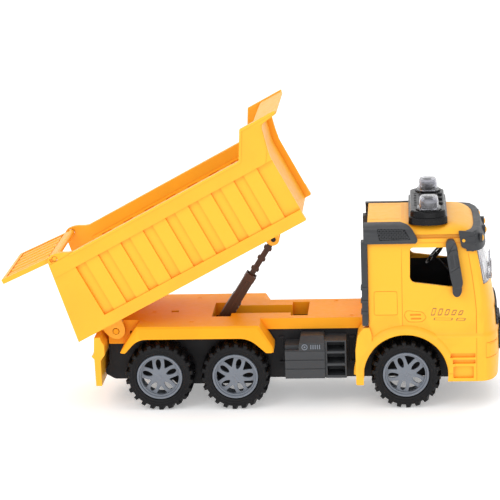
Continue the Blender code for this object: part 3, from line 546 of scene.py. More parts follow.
def rim_mesh():
    """Right rim: rolled lip, stepped seat and five twin spokes that dish out to the hub."""
    profile = [(0.05, -7.1), (1.1, -7.1), (1.3, -6.9), (3.4, -6.75), (6.5, -6.35), (10, -5.75), (13.2, -5.1),
               (13.3, -6.3), (14, -6.5), (14.25, -7.6), (14.6, -8.1), (15.1, -8.3), (15.6, -8.2),
               (15.9, -7.8), (16, -7.2), (16, 7.4), (14.4, 7.4), (14.2, -3.9), (10, -4.2), (4.2, -4.6),
               (4, 5.4), (1.8, 5.4), (1.8, -5.6), (0.05, -5.6)]
    wheel = turned(profile, 72)
    tools = []
    for k in range(5):
        axis = 90 + 72 * k
        tools.append(slab(teardrop(axis), -9, 0))
        mid = axis + 36
        opening = [polar(6.6, mid), polar(10.4, mid + 12.5), polar(13, mid + 17.5), polar(13.3, mid + 6),
                   polar(13.3, mid - 6), polar(13, mid - 17.5), polar(10.4, mid - 12.5)]
        tools.append(slab(rounded(opening, 0.9, 3), -9, 0))
    for k in range(10):
        reach = 5 if k % 2 == 0 else 7.2
        groove = block(1.7, reach, -8, -6.75 if k % 2 else -6.85, -0.16, 0.16)
        tools.append(spun(groove, "Y", -(90 + 36 * k)))
    return cut(wheel, *tools)


def wheels():
    tyre = tyre_mesh()
    rim = rim_mesh()
    turns = {"rear": 4, "middle": -16, "front": 23}
    for axle, x in AXLE_X.items():
        for side, fix in SIDES.items():
            y = -WHEEL_Y if side == "right" else WHEEL_Y
            spot = TRUCK @ at(x, y, AXLE_HEIGHT) @ turn_y(turns[axle])
            skin(f"{axle}_tyre_{side}", fix(tyre), place=spot, clean=False)
            skin(f"{axle}_rim_{side}", fix(rim), place=spot, bevel=0.22, corner=38)


# ---------------- cab
# height, half width, X where the side starts to curve, X of the front on the centre line
CAB_LEVELS = [(19.2, 40.5, 165.6, 182.4), (36, 40.5, 166, 183.2), (50.8, 40.5, 166, 182.9),
              (51.8, 40.3, 166, 182.6), (52.9, 39.6, 166, 181.8), (54.4, 39.5, 166, 181.5),
              (66, 39.5, 166, 180.6), (77, 39.5, 165.6, 178.7), (87, 39.5, 164.5, 176.8),
              (100, 39.42, 162.9, 174.3), (112, 39.3, 161, 171.8), (117, 39.1, 160, 170.3),
              (120.5, 38.7, 159.2, 168.9), (123.2, 38.1, 158, 167.3), (125.4, 37, 156.5, 165.4),
              (127.2, 35.2, 154.2, 162.8), (128.5, 32.8, 151.5, 159.6), (129.3, 29.8, 148.4, 155.8),
              (129.8, 26, 145.4, 151.6), (ROOF_TOP, 21, 142, 147.6)]
HOOD_LEVELS = [(112, 41.4, 161, 174), (118, 41.4, 160.4, 173.2), (125.4, 41.3, 159, 170.5)]
FRONT_POWER = 3
CAB_WALL = 1.8


def cab_ring(z, sizes, rear, offset=0, steps=12):
    half, corner, front = sizes
    half += offset
    front += offset
    ring = [(rear, -half, z), ((rear + corner) / 2, -half, z)]
    for i in range(-steps, steps + 1):
        angle = math.pi / 2 * i / steps
        along = math.cos(angle) ** (2 / FRONT_POWER)
        across = math.copysign(abs(math.sin(angle)) ** (2 / FRONT_POWER), angle)
        ring.append((corner + (front - corner) * along, half * across, z))
    ring += [((rear + corner) / 2, half, z), (rear, half, z)]
    return ring


def cab_solid(rear, offset):
    return loft([cab_ring(z, sizes, rear, offset) for z, *sizes in CAB_LEVELS])


def front_band(inner, outer, half, low, high):
    """A strip of skin that follows the bowed cab front between two heights."""
    shell = cut(cab_solid(150, outer), cab_solid(140, inner))
    return common(shell, block(150.5, 200, -half, half, low, high))


def front_x(z, y, levels=CAB_LEVELS):
    for (low, *start), (high, *end) in zip(levels, levels[1:]):
        if low <= z <= high:
            share = (z - low) / (high - low)
            half, corner, front = [a + (b - a) * share for a, b in zip(start, end)]
    across = min(1, abs(y) / half) ** FRONT_POWER
    return corner + (front - corner) * (1 - across) ** (1 / FRONT_POWER)


def side_groove(outline, width=0.45, depth=0.35, face=39.5):
    """Cutter for an engraved outline on the cab's right side."""
    outer = slab(outline, -face - 2, -face + depth)
    inner = slab(shrunk(outline, width), -face - 3, -face + depth + 1)
    return cut(outer, inner)


def side_line(points, width=0.4, depth=0.35, face=39.5):
    """Cutters for an engraved line through (x, z) points on the cab's right side."""
    made = []
    for (x0, z0), (x1, z1) in zip(points, points[1:]):
        along = Vector((x1 - x0, z1 - z0)).normalized()
        off = Vector((-along.y, along.x)) * width / 2
        reach = along * width / 2
        quad = [(x0 - reach.x + off.x, z0 - reach.y + off.y), (x0 - reach.x - off.x, z0 - reach.y - off.y),
                (x1 + reach.x - off.x, z1 + reach.y - off.y), (x1 + reach.x + off.x, z1 + reach.y + off.y)]
        made.append(slab(quad, -face - 2, -face + depth))
    return made


def arch_flare():
    """Rounded band over the right front wheel."""
    profile = [(29, -37.8), (29, -41), (29.5, -41.6), (30.4, -41.8), (32.2, -41.8), (33.6, -41.4),
               (34.9, -40.4), (35.8, -39.3), (35.8, -37.8)]
    return moved(turned(profile, 44, 3, 176), AXLE_X["front"], 0, AXLE_HEIGHT)


def door_handle():
    """Cutters for the shallow pocket and the two bars left standing in it."""
    pocket = [(117, 66.6), (118.6, 70.4), (130.4, 69.2), (133, 65), (129.6, 61.8), (120, 61.8)]
    tools = [side_groove(rounded(pocket, 1.8, 3), 0.5)]
    for z, x0, x1 in ((67.2, 121, 129), (64.4, 121.6, 129.2)):
        bar = rounded([(x0, z - 0.6), (x1, z - 0.6), (x1 - 0.8, z + 0.6), (x0 + 0.8, z + 0.6)], 0.5, 2)
        tools.append(slab(bar, -42, -38.7))
    return tools


def cab():
    body = cab_solid(CAB_REAR, 0)
    guard = slab(rounded([(83.7, 17.4), (89.4, 17.4), (95, 30), (95, 54), (93.6, 58.6), (89.6, 58.6),
                          (85.4, 53), (83.7, 43)], 1, 2), -41.4, -23.6)
    body = join(body, *both(guard), *both(arch_flare()))
    rings = [cab_ring(10, CAB_LEVELS[0][1:], CAB_REAR + CAB_WALL, -CAB_WALL)]
    rings += [cab_ring(z, s, CAB_REAR + CAB_WALL, -CAB_WALL) for z, *s in CAB_LEVELS if z < ROOF_TOP - 1.2]
    tools = [loft(rings), *both(block(85.6, 99, -39.6, -25.2, 10, 49.6))]
    tools += [rod(AXLE_X["front"], AXLE_HEIGHT, 29, -60, 60, 72), block(89, 144.4, -60, 60, 0, AXLE_HEIGHT)]
    window = rounded([(121.6, 92.6), (123.6, 90), (149, 86.6), (157, 86.2), (154, 114.2), (122, 114.4)], 2.6)
    tools += [slab(window, -60, 60), block(158, 200, -37, 37, 87.4, 112)]
    tools.append(block(80, 98, -23.4, 23.4, 0, 61.2))
    tools.append(slab([(140, 10), (150, 10), (150, 17), (144, 19)], -60, 60))
    detail = []
    steps = ((148.2, 165.6, 36.4, 39.4, 0.8), (150, 165.6, 32, 34.8, 0.4), (150.4, 164.3, 21.6, 30, 0))
    for x0, x1, low, high, slope in steps:
        step = rounded([(x0, low), (x1, low), (x1, high), (x0 + slope, high)], 0.6, 2)
        detail.append(slab(step, -43, -38.9))
    detail += side_line([(116.2, 59.6), (116.2, 117.2)])
    detail += side_line([(166.4, 20), (166.5, 50)], face=40.5)
    detail += side_line([(166.5, 53.5), (166.4, 70), (165.4, 81), (163.6, 95), (161.2, 110)], face=39.3)
    detail += side_line([(128, 120.6), (158, 120.6)], 0.3, 0.5, 38.9)
    detail += side_line([(128, 117.6), (156, 117.6)], 0.3, 0.3, 39.1)
    detail.append(side_groove(rounded([(96.8, 67), (113.2, 67), (112.9, 84.2), (97, 84.2)], 1.6, 3), 0.5))
    detail += door_handle()
    for cutter in detail:
        tools += both(cutter)
    lamp_skin = cut(cab_solid(150, 1), cab_solid(140, -0.4))
    surround = cut(block(160, 200, -39.6, -27.5, 35.6, 46.6), block(150, 210, -39.1, -28, 36.1, 46.1))
    tools += both(common(lamp_skin, surround))
    for y in (-20.6, 20):
        tools.append(block(94.8, 115.2, y, y + 0.6, ROOF_TOP - 0.4, ROOF_TOP + 1))
    tools.append(block(116.4, 118, -60, 60, ROOF_TOP - 0.4, ROOF_TOP + 1))
    skin("cab_shell", cut(body, *tools), "cab_body_skin", bevel=0.3, corner=34)


def cab_liner():
    """Black tub that lines the cab's walls up to the window sills."""
    outer = cab_solid(CAB_REAR + CAB_WALL + 0.05, -CAB_WALL - 0.05)
    inner = cab_solid(CAB_REAR + CAB_WALL + 0.6, -CAB_WALL - 0.6)
    tub = common(cut(outer, inner), block(90, 190, -45, 45, 62, 112))
    openings = [block(122.5, 200, -60, 60, 86.2, 120), block(118.5, 123, -60, 60, 91, 120)]
    piece("cab_liner", cut(tub, *openings), "chassis_black")


def door_badge():
    """Generic printed mark on each door: slanted bars over an underline, in brown outline."""
    bars = []
    for k in range(5):
        x = 135.4 + 4.6 * k
        height = 71.8 - 0.5 * k
        bars.append([(x, 66.4), (x + 2.6, 66.4), (x + 4.2, height), (x + 1.6, height)])
    bars.append([(137.2, 63.2), (150, 62.8), (150.6, 64.4), (137.8, 64.8)])
    bars.append([(152.4, 62.6), (158.6, 62.4), (159.4, 64.2), (153.2, 64.4)])
    shapes = []
    for bar in bars:
        outline = rounded(bar, 0.5, 2)
        shapes.append(cut(slab(outline, -39.58, -39.3), slab(shrunk(outline, 0.75), -41, -38)))
    piece("door_badge", heap(*both(heap(*shapes))), INK)


def windshield():
    pane = front_band(-1.5, 0.3, 36.6, 87.7, 111.7)
    blades = []
    for y in (-24, 2):
        arm = block(-0.5, 0.7, 0, 20, -0.55, 0.55)
        hub = block(-0.8, 1.2, -1.6, 1.6, -1.6, 1.6)
        blade = block(0.1, 0.9, 4, 22, 0.4, 1.3)
        wiper = spun(heap(arm, hub, blade), "X", 14)
        blades.append(moved(spun(wiper, "Y", 9), front_x(90, y + 8) + 0.55, y, 90))
    skin("windshield", pane, "windshield_pane", bevel=0.2)
    piece("windshield_wipers", heap(*blades), SMOKE, bevel=0.2)


def grille():
    """Dark front panels with raised slats in a frame."""
    parts = []
    for low, high in ((37, 50.6), (54.4, 68)):
        parts.append(front_band(GAP, 0.7, 22.8, low + 0.2, high - 0.2))
        parts.append(front_band(GAP, 1.25, 23, low, low + 1))
        parts.append(front_band(GAP, 1.25, 23, high - 1, high))
        z = low + 2.6
        while z < high - 2.2:
            parts.append(front_band(GAP, 1.15, 21.6, z, z + 1.1))
            z += 2.5
    tie = [(183.4, 49), (184, 49), (184, 56), (182.2, 56), (182.2, 53.6), (183.4, 53.3)]
    parts.append(slab(tie, -12, 12))
    skin("front_grille", heap(*parts), "front_grille_slats", bevel=0.15)
    lens = common(cut(cab_solid(150, 0.25), cab_solid(140, -0.3)), block(160, 200, -38.4, -28.6, 37, 45.2))
    for side, fix in SIDES.items():
        piece(f"headlamp_{side}", fix(lens), "body_yellow", bevel=0.3)


def forward_disc(radius, x0, x1, y, z):
    return moved(spun(rod(0, 0, radius, x0, x1), "Z", -90), 0, y, z)


def visor():
    """Hood round the roof's front with its ear plates, lamp cups and yellow lamps."""
    hood = cut(loft([cab_ring(z, sizes, 150) for z, *sizes in HOOD_LEVELS]), cab_solid(140, GAP))
    hood = common(hood, block(160, 200, -50, 50, 100, 140))
    ear = slab(rounded([(154.7, 126.2), (162.8, 125.5), (165.6, 125.3), (165.6, 112.2), (164.2, 111.6),
                        (156.7, 114.7), (155.7, 119.9)], 1.2, 3), -41.4, -40.1)
    faces = [front_x(LAMP_Z, abs(y), HOOD_LEVELS) + 1.2 for y in LAMP_Y]
    cups, sockets = [], []
    for y, face in zip(LAMP_Y, faces):
        back = front_x(LAMP_Z - LAMP_CUP, abs(y) - LAMP_CUP) + 0.5
        cups.append(forward_disc(LAMP_CUP, back, face, y, LAMP_Z))
        sockets.append(forward_disc(LAMP_CUP - 0.8, face - 1.8, 185, y, LAMP_Z))
    solid = cut(join(hood, *both(ear), *cups), *sockets)
    ribs = []
    for z0, z1 in ((121, 122.2), (117.6, 116.6)):
        rib = rounded([(159.4, z0 - 0.5), (166.6, z1 - 0.1), (166.6, z1 + 0.7), (159.4, z0 + 0.3)], 0.35, 2)
        ribs += both(slab(rib, -41.75, -41))
    skin("roof_visor", heap(solid, *ribs), bevel=0.35)
    pegs = both(rod(158.2, 119.4, 1.1, -41.95, -40.6, 24))
    piece("visor_pegs", heap(*pegs), "body_yellow", bevel=0.25)
    for number, (y, face) in enumerate(zip(LAMP_Y, faces), 1):
        radius = LAMP_CUP - 1.1
        dome = [(0.05, -1.5), (radius, -1.5), (radius, -0.1), (radius * 0.85, 0.5), (radius * 0.5, 0.9),
                (0.05, 1.05)]
        lens = moved(spun(turned(dome, 32), "Z", -90), face, y, LAMP_Z)
        node = f"visor_lamp_{number}"
        skin(node, lens, node + "_lens", clean=False)


# from the lower edge up: outer y and z, inner y and z, X of the front edge
FAIRING_LEVELS = [(-42, 117.9, -39.3, 117.9, 125.8), (-41.9, 119.9, -39.25, 119.9, 127.1),
                  (-41.4, 123.8, -38.2, 123.6, 125.6), (-39.4, 127.2, -37.3, 125.8, 123.7),
                  (-34.5, 129.4, -33.2, 128.8, 120.6), (-28.2, 129.9, -28.2, 129.4, 115.5)]


def eased(levels, steps=4):
    """The levels with smooth in-between ones (Catmull-Rom)."""
    made = []
    for i in range(len(levels) - 1):
        p0, p1, p2, p3 = (Vector(levels[max(0, min(len(levels) - 1, i + k))]) for k in (-1, 0, 1, 2))
        for k in range(steps):
            t = k / steps
            point = p1 + (p2 - p0) * (t / 2) + (p0 - p1 * 2.5 + p2 * 2 - p3 * 0.5) * t ** 2
            point += ((p1 - p2) * 1.5 + (p3 - p0) * 0.5) * t ** 3
            made.append(tuple(point))
    return made + [levels[-1]]


FAIRING_CURVE = eased(FAIRING_LEVELS)


def fairing_y(z):
    """Y of the right fairing's outer surface at height z."""
    for (y0, z0, *_), (y1, z1, *_) in zip(FAIRING_CURVE, FAIRING_CURVE[1:]):
        if z <= z1:
            return y0 + (y1 - y0) * (z - z0) / (z1 - z0)
    return FAIRING_LEVELS[-1][0]


def lattice(low, high, left, right, pitch=2.3, width=1.05):
    """Crossed diagonal bars over the right fairing's opening; left and right give its edges at a height."""
    bars = []
    steps = [low + (high - low) * i / 14 for i in range(15)]
    for lean in (-1, 1):
        for k in range(-5, 18):
            rings = []
            for z in steps:
                x = left(low) + pitch * k + lean * (z - low)
                if left(z) < x < right(z):
                    near, far = fairing_y(z) + 0.15, fairing_y(z) + 1
                    rings.append([(x, near, z), (x + width, near, z), (x + width, far, z), (x, far, z)])
            if len(rings) > 2:
                bars.append(loft(rings))
    return heap(*bars)


def fairings():
    """Deflectors that wrap over the roof's rear shoulders, their mesh, and the banded intake columns."""
    rear = 90.9
    wing = loft([[(rear, y, z), (front, y, z), (front, inner_y, inner_z), (rear, inner_y, inner_z)]
                 for y, z, inner_y, inner_z, front in FAIRING_CURVE])
    column = block(88.8, CAB_REAR - GAP, -41.4, -33.6, 60.2, 119.2)
    bands = [block(88.1, CAB_REAR - GAP, -41.9, -33.2, z, z + 1.8) for z in (68.4, 76.4, 85.6)]
    slots = (71.6, 73.4, 79.6, 81.4, 83.2, 89.4, 91.2, 93)
    louvres = [block(87.6, 89.6, -40, -35, z, z + 0.8) for z in slots]
    opening = rounded([(101.4, 120.2), (122.6, 120.6), (118.6, 127.4), (100, 127.6)], 0.9, 3)
    levels = (119.9, 121, 122, 123, 123.8, 124.6, 125.4, 126.2, 127.2, 127.9)

    def curved(low, high):
        """The opening's outline as a sheet that follows the outer surface, between two depths."""
        sheet = loft([[(95, fairing_y(z) + low, z), (130, fairing_y(z) + low, z),
                       (130, fairing_y(z) + high, z), (95, fairing_y(z) + high, z)] for z in levels])
        return common(sheet, slab(opening, -60, 0))

    pocket = curved(-1, 1.4)
    backing = curved(1.15, 1.35)
    solid = cut(join(wing, column, *bands), pocket, *louvres)
    mesh = lattice(120.4, 127.4, lambda z: 101.2 - 0.19 * (z - 120.4), lambda z: 121.6 - 0.59 * (z - 120.4))
    for side, fix in SIDES.items():
        skin(f"side_fairing_{side}", fix(solid), bevel=0.45)
        piece(f"deflector_mesh_{side}", fix(mesh), "trim_grey")
        piece(f"deflector_backing_{side}", fix(backing), "chassis_black")


def mirrors():
    """Tall mirrors: a knob on the door frame, a ribbed housing creased across, and a lower clip."""
    panel = rounded([(146.6, 109.8), (147.8, 112.6), (153.7, 114.2), (155.1, 105.6), (157.4, 90.9),
                     (156.4, 86.8), (150.8, 86.8), (149, 94.5)], 1.3)
    housing = slab(panel, -45.6, -42.2)
    upper = slab(rounded([(146, 116), (146.8, 120.4), (151.4, 120.8), (153, 117), (154.4, 112.8),
                          (151.5, 108.6), (147.1, 109)], 2.6, 6), -44.8, -39.9)
    lower = slab(rounded([(150.3, 88.4), (150.3, 83), (152.4, 80.4), (155.2, 81.2), (156.7, 84.6),
                          (156.6, 88.4)], 2, 6), -44.6, -39.9)
    grooves = side_line([(149.4, 98.6), (156.4, 103)], 0.45, 0.5, 45.6)
    for k in range(4):
        grooves += side_line([(148.8 + 1.5 * k, 110.4), (150.2 + 1.5 * k, 101 + 0.8 * k)], 0.5, 0.4, 45.6)
    grooves += side_line([(147.4, 110.4), (152, 118.6)], 0.4, 0.4, 44.8)
    solid = cut(join(housing, upper, lower), *grooves)
    for side, fix in SIDES.items():
        skin(f"mirror_{side}", fix(solid), bevel=0.6, segments=3)


def bar_outline(inset=0, steps=12):
    x0, x1 = 121.5 + inset, 147.5 - inset
    middle, reach = (x0 + x1) / 2, (x1 - x0) / 2
    points = []
    for side, order in ((-1, range(-steps, steps + 1)), (1, range(steps, -steps - 1, -1))):
        for i in order:
            across = math.sin(math.pi / 2 * i / steps)
            bow = 9.5 * (1 - math.sqrt(max(0, 1 - 0.92 * across * across)))
            points.append((middle + reach * across, side * (38.5 - inset - bow)))
    return points


def light_bar():
    levels = ((ROOF_TOP - 0.6, -0.2), (134, 0), (134.4, 0.9), (137.6, 1.2), (138.2, 1.6), (BAR_TOP, 2.2))
    shell = loft([[(x, y, z) for x, y in bar_outline(inset)] for z, inset in levels])
    shell = cut(shell, cab_solid(CAB_REAR, GAP))
    tools = [post(143.3, k * 13, 1.9, 130, 145, 24) for k in (-1, 0, 1)]
    rings = []
    for y in (-BEACON_Y, BEACON_Y):
        tools.append(post(BEACON_X, y, 3.4, 125, 145))
        rings.append(cut(post(BEACON_X, y, 9, 138.2, 139.3, 48), post(BEACON_X, y, 8.2, 137, 141, 48)))
    tools.append(plate(bar_outline(2.2), ROOF_TOP - 2, BAR_TOP - 1.8))
    tools += [block(125.4, 127, -20 + 5 * k, -17.4 + 5 * k, 138.1, 140) for k in range(8)]
    skin("light_bar", heap(cut(shell, *tools), *rings), bevel=0.3)


def squircle(cx, cy, half, count=40, power=3.6):
    points = []
    for i in range(count):
        angle = 2 * math.pi * i / count
        c, s = math.cos(angle), math.sin(angle)
        points.append((cx + half * math.copysign(abs(c) ** (2 / power), c),
                       cy + half * math.copysign(abs(s) ** (2 / power), s)))
    return points


def beacons():
    low = BAR_TOP + GAP
    outer = [(7.9, low), (7.9, low + 0.9), (6.8, low + 1.2), (6.65, low + 2.6), (6.4, low + 6.2),
             (6.1, low + 7.6), (5.5, low + 8.4), (4.6, low + 8.8)]
    inner = [(5.9, low - 1), (5.9, low + 2.6), (5.7, low + 6.2), (5.3, low + 7.2), (4.4, low + 7.9)]
    for side, cy in (("right", -BEACON_Y), ("left", BEACON_Y)):
        solid = loft([[(x, y, z) for x, y in squircle(BEACON_X, cy, r)] for r, z in outer])
        hollow = loft([[(x, y, z) for x, y in squircle(BEACON_X, cy, r)] for r, z in inner])
        skin(f"beacon_{side}", cut(solid, hollow), f"beacon_{side}_cap", SMOKE)
        flare = turned([(2.6, 0), (4.9, 4.2), (5.2, 4.4), (5.2, 3.8), (3, -0.2)], 36)
        flare = moved(spun(flare, "X", 90), BEACON_X, cy, low + 0.9)
        piece(f"beacon_reflector_{side}", flare, "steel")


# ---------------- deck, chassis and boxes
# X where each stretch of the ram's well starts and ends, and its half width
RAM_WELL = [(-17, -3.7, 17), (-3.7, 38.2, 9.4), (38.2, 50.2, 16.3)]


def well_outline(grown):
    start, end = RAM_WELL[0][0] - grown, RAM_WELL[-1][1] + grown
    near = [(start, -RAM_WELL[0][2] - grown)]
    for (_, x, half), (_, _, half_after) in zip(RAM_WELL, RAM_WELL[1:]):
        step = grown if half > half_after else -grown
        near += [(x + step, -half - grown), (x + step, -half_after - grown)]
    near.append((end, -RAM_WELL[-1][2] - grown))
    return near + [(x, -y) for x, y in reversed(near)]


def fender():
    """Right fender: the arch over both rear wheels is one smooth curve, its outer upper edge a bevel."""
    corners = [(-79.6, 42.2), (-75.8, 42.2), (-66.8, 52), (10.6, 52), (22.2, 41.4), (27.2, 41.4),
               (27.2, 44.6), (17.4, DECK_TOP), (-67.4, DECK_TOP)]
    outline = rounded(corners, (0.5, 0.5, 12, 13, 0.5, 0.5, 0.8, 0.9, 0.9), 7)
    edge = 1.3
    rings = []
    for y, inset in ((-DECK_HALF + 1, 0), (-FENDER_HALF + edge, 0), (-FENDER_HALF, edge)):
        ring = []
        for x, z in outline:
            share = min(1, max(0, (z - 52) / 3))
            ends = 1 if x > 26 or x < -79 else share
            ring.append((x + inset * 0.9 * ends * (1 if x < -25 else -1), y, z - inset * share))
        rings.append(ring)
    hollow = slab([(-72.8, 40), (-65, 50.4), (-65, 58.6), (15, 58.6), (22, 46), (22, 40)], -FENDER_HALF + 2.4,
                  -DECK_HALF - 1.4)
    return cut(loft(rings), hollow)


def deck():
    """Deck with its fenders, the ram's well with skirted walls, and small moulded marks."""
    outline = rounded([(-89.6, 43.6), (-74.4, 43.6), (-74.4, 53), (92.6, 53), (92.6, DECK_TOP),
                       (-84.6, DECK_TOP), (-89.6, 56.5)], 0.8, 3)
    inner, under = DECK_HALF - 1.8, DECK_TOP - 2.4
    hollow = slab([(-87.6, 40), (-76.2, 40), (-76.2, 50), (90, 50), (90, under), (-84.4, under), (-87.6, 55)],
                  -inner, inner)
    body = join(slab(outline, -DECK_HALF, DECK_HALF), *both(fender()))
    marks = [block(-47, -41.6, -5.6, -1, 50, 70), rod(*BED_PIVOT, 2.3, -40, 40)]
    spots = ((-59, -5), (-30, 29), (-30, -29), (69, 17.5), (81, -18))
    marks += [post(x, y, 1.6, DECK_TOP - 0.3, 70, 24) for x, y in spots]
    body = join(cut(body, hollow, *marks), plate(well_outline(1.2), DECK_TOP - 9.4, DECK_TOP - 1.2))
    skin("deck", cut(body, plate(well_outline(0), 40, 70)), bevel=0.4)
    piece("deck_screw_cover", block(-47.3, -41.3, -6, -0.6, 56.6, 59.2), "chassis_black", bevel=0.2)


def chassis():
    low, top, half = 16.8, 52.4, 20.5
    outline = rounded([(-86.8, low), (-47, low), (-43, 12.6), (13, 12.6), (17, low), (176, low), (176, top),
                       (-74, top), (-74, 43.2), (-90, 43.2), (-90.4, 28), (-93, 25), (-93.4, 20.6)], 1.4, 3)
    floor = low + 2
    hollow = slab([(-84.5, floor), (-46, floor), (-42, 14.4), (12, 14.4), (16, floor), (174, floor),
                   (174, 60), (-84.5, 60)], -half + 1.8, half - 1.8)
    holes = [rod(x, AXLE_HEIGHT, 2, -30, 30, 24) for x in AXLE_X.values()]
    holes += [block(138, 164, -17, 17, 10, 20), post(168.2, 0, 1.6, 10, 20, 24)]
    holes += [post(x, y, 2.2, 10, 13.6, 24) for x in (-34, 6) for y in (-15.5, 15.5)]
    holes += [block(x, x + 16, -14, 14, 10, low + 0.5) for x in (30, 54, 78)]
    hooks = []
    for x0, x1, upright in ((30, 33.6, 32.1), (78.6, 83, 79)):
        for z in (27.8, 46):
            hooks += both(block(x0, x1, -22.4, -19.5, z, z + 1.3))
        hooks += both(block(upright, upright + 1.1, -21.6, -19.5, 28, 47))
    skin("chassis", heap(cut(slab(outline, -half, half), hollow, *holes), *hooks), bevel=0.4)


def side_boxes():
    """Storage boxes with a dial, vents and grooves on the battery cover, and the ladder step beside them."""
    outer, inner = -38.2, -20.8
    cover = rounded([(44.2, 42), (44.8, 47), (45.8, 50.8), (61.6, 50.8), (62.3, 48), (62.3, 42)], 0.5, 2)
    box = join(block(34.8, 62.3, outer, inner, 21.6, 44.8), slab(cover, outer, inner))
    shelf = block(33.8, 44.5, outer - 1, outer + 3.4, 42, 49)
    grooves = [block(34, 63, outer - 1, outer + 0.5, z, z + 0.7) for z in (28.3, 34.7)]
    grooves.append(block(34, 63, outer - 1, outer + 0.3, 41.2, 41.7))
    slope_line = [(outer - 1, 46.4), (outer - 1, 52), (outer + 6.4, 52), (outer + 6.4, 50.9)]
    slope = loft([[(x, y, z) for y, z in slope_line] for x in (43, 64)])
    beside_deck = block(30, 80, -23.3, 0, 52.6, 60)
    box = cut(box, shelf, slope, *grooves, beside_deck)
    ladder = block(63, 77.2, outer + 0.8, inner, 21.6, 48.6)
    steps = [block(64, 76.2, outer - 1, inner - 3, z, z + 6.9) for z in (23.5, 32.4)]
    steps.append(block(64, 76.2, outer - 1, inner - 3, 41.2, 47.6))
    ladder = cut(ladder, *steps)
    treads = [block(63.6, 76.6, outer + 0.4, inner - 8, z, z + 1.3) for z in (30.7, 39.6)]
    link_bar = block(62, 64, outer + 1.6, inner, 21.8, 48.4)
    shape = heap(box, ladder, *treads, link_bar)
    dial = cut(rod(48.6, 44.4, 2.1, outer - 0.5, outer + 0.4), rod(48.6, 44.4, 1.5, outer - 1, outer + 1))
    knob = rod(48.6, 44.4, 0.7, outer - 0.5, outer + 0.4, 16)
    vents = [block(52.6 + 1.5 * k, 53.3 + 1.5 * k, outer - 0.5, outer + 0.4, 42.9, 46) for k in range(5)]
    # the dial and vents get the light grey rim look: a painted highlight for the light they catch
    marks = heap(dial, knob, *vents)
    for side, fix in SIDES.items():
        skin(f"side_box_{side}", fix(shape), bevel=0.2)
        piece(f"side_box_{side}_marks", fix(marks), "rim_grey", bevel=0.1)


def plain_parts():
    """Pieces whose shape is the CAD node's own, with rounded edges."""
    for node, bevel, segments in (("rear_bumper", 0.7, 3), ("battery_door", 0.3, 2), ("interior", 0.8, 3)):
        mesh = frame["nodes"][node].data.copy()
        mesh.materials.clear()
        mesh.transform(TRUCK.inverted())
        skin(node, mesh, bevel=bevel, segments=segments)


# ---------------- bed, tailgate and ram
def bed_point(u, v):
    """Side-view point measured from the bed's rear lower corner, given from the pivot."""
    return (BED_REAR + u, BED_BASE + v)


def bed_shape(outline, y0, y1):
    return slab([bed_point(u, v) for u, v in outline], y0, y1)


def bed_block(u0, u1, v0, v1, y0, y1):
    return bed_shape([(u0, v0), (u1, v0), (u1, v1), (u0, v1)], y0, y1)


def bed_wall():
    """Right wall: ribbed field between skirt and rail, a bead along the top, pockets behind the ribs."""
    corners = [(0, 0), (BED_LENGTH, 0), (BED_LENGTH, BED_RAIL_LOW), (182.9, 55.2), (187.3, 72), (199.4, 73.6),
               (199.9, 76), (173, 76), (161.9, BED_RAIL), (29, BED_RAIL), (21, 62), (15, 63), (11.4, 61.4),
               (10.4, BED_RAIL)]
    outline = rounded(corners, (0.6, 0.6, 4, 6, 3, 0.5, 0.5, 1.2, 1.2, 7, 4, 3, 2, 1))
    wall = bed_shape(outline, -BED_HALF, -BED_INNER)
    starts = [RIB_FIRST + k * RIB_PITCH for k in range(RIBS)]
    channels = zip([RIB_FIRST - RIB_PITCH + RIB_WIDTH] + [s + RIB_WIDTH for s in starts],
                   starts + [BED_LENGTH + 2])
    cuts = [bed_block(start, end, BED_SKIRT, BED_RAIL_LOW, -50, -BED_HALF + 2.1) for start, end in channels]
    for start in starts:
        end = start + RIB_WIDTH
        cuts.append(bed_block(start - 0.01, end + 0.01, BED_SKIRT, BED_RAIL_LOW, -50, -BED_HALF + 0.8))
    px, pz = bed_point(*TAILGATE_PIN)
    cuts.append(rod(px, pz, 2, -50, -BED_INNER + 1, 24))
    cuts.append(block(px - 3.6, px + 1.4, -50, -BED_HALF + 1.3, pz - 1.4, pz + 1.4))
    ledge = BED_RAIL_LOW + 1.6
    wall = join(wall, bed_block(28, 176, 8.2, ledge, -BED_INNER - 0.5, -BED_INNER + 0.9))
    for start in starts:
        cuts.append(bed_block(start + 1.2, start + RIB_WIDTH - 1.2, BED_SKIRT + 2.6, ledge - 1.4,
                              -BED_INNER - 0.6, -BED_INNER + 3))
    bead = bed_shape([(27, 56.3), (162.7, 56.3), (173.8, 74.7), (199.6, 74.7), (199.9, 76.2), (172.9, 76.2),
                      (161.8, 57.7), (27, 57.7)], -BED_HALF - 0.75, -BED_INNER - 0.4)
    band = bed_shape([(9.4, BED_RAIL_LOW), (176.9, BED_RAIL_LOW), (182.4, 55.6), (187, 72.2), (199.2, 73.9),
                      (199.2, 75.6), (172.8, 75.6), (161.4, 57.2), (11, 57.2)], -BED_HALF - 0.4,
                     -BED_HALF + 0.9)
    return heap(cut(wall, *cuts), bead, band)


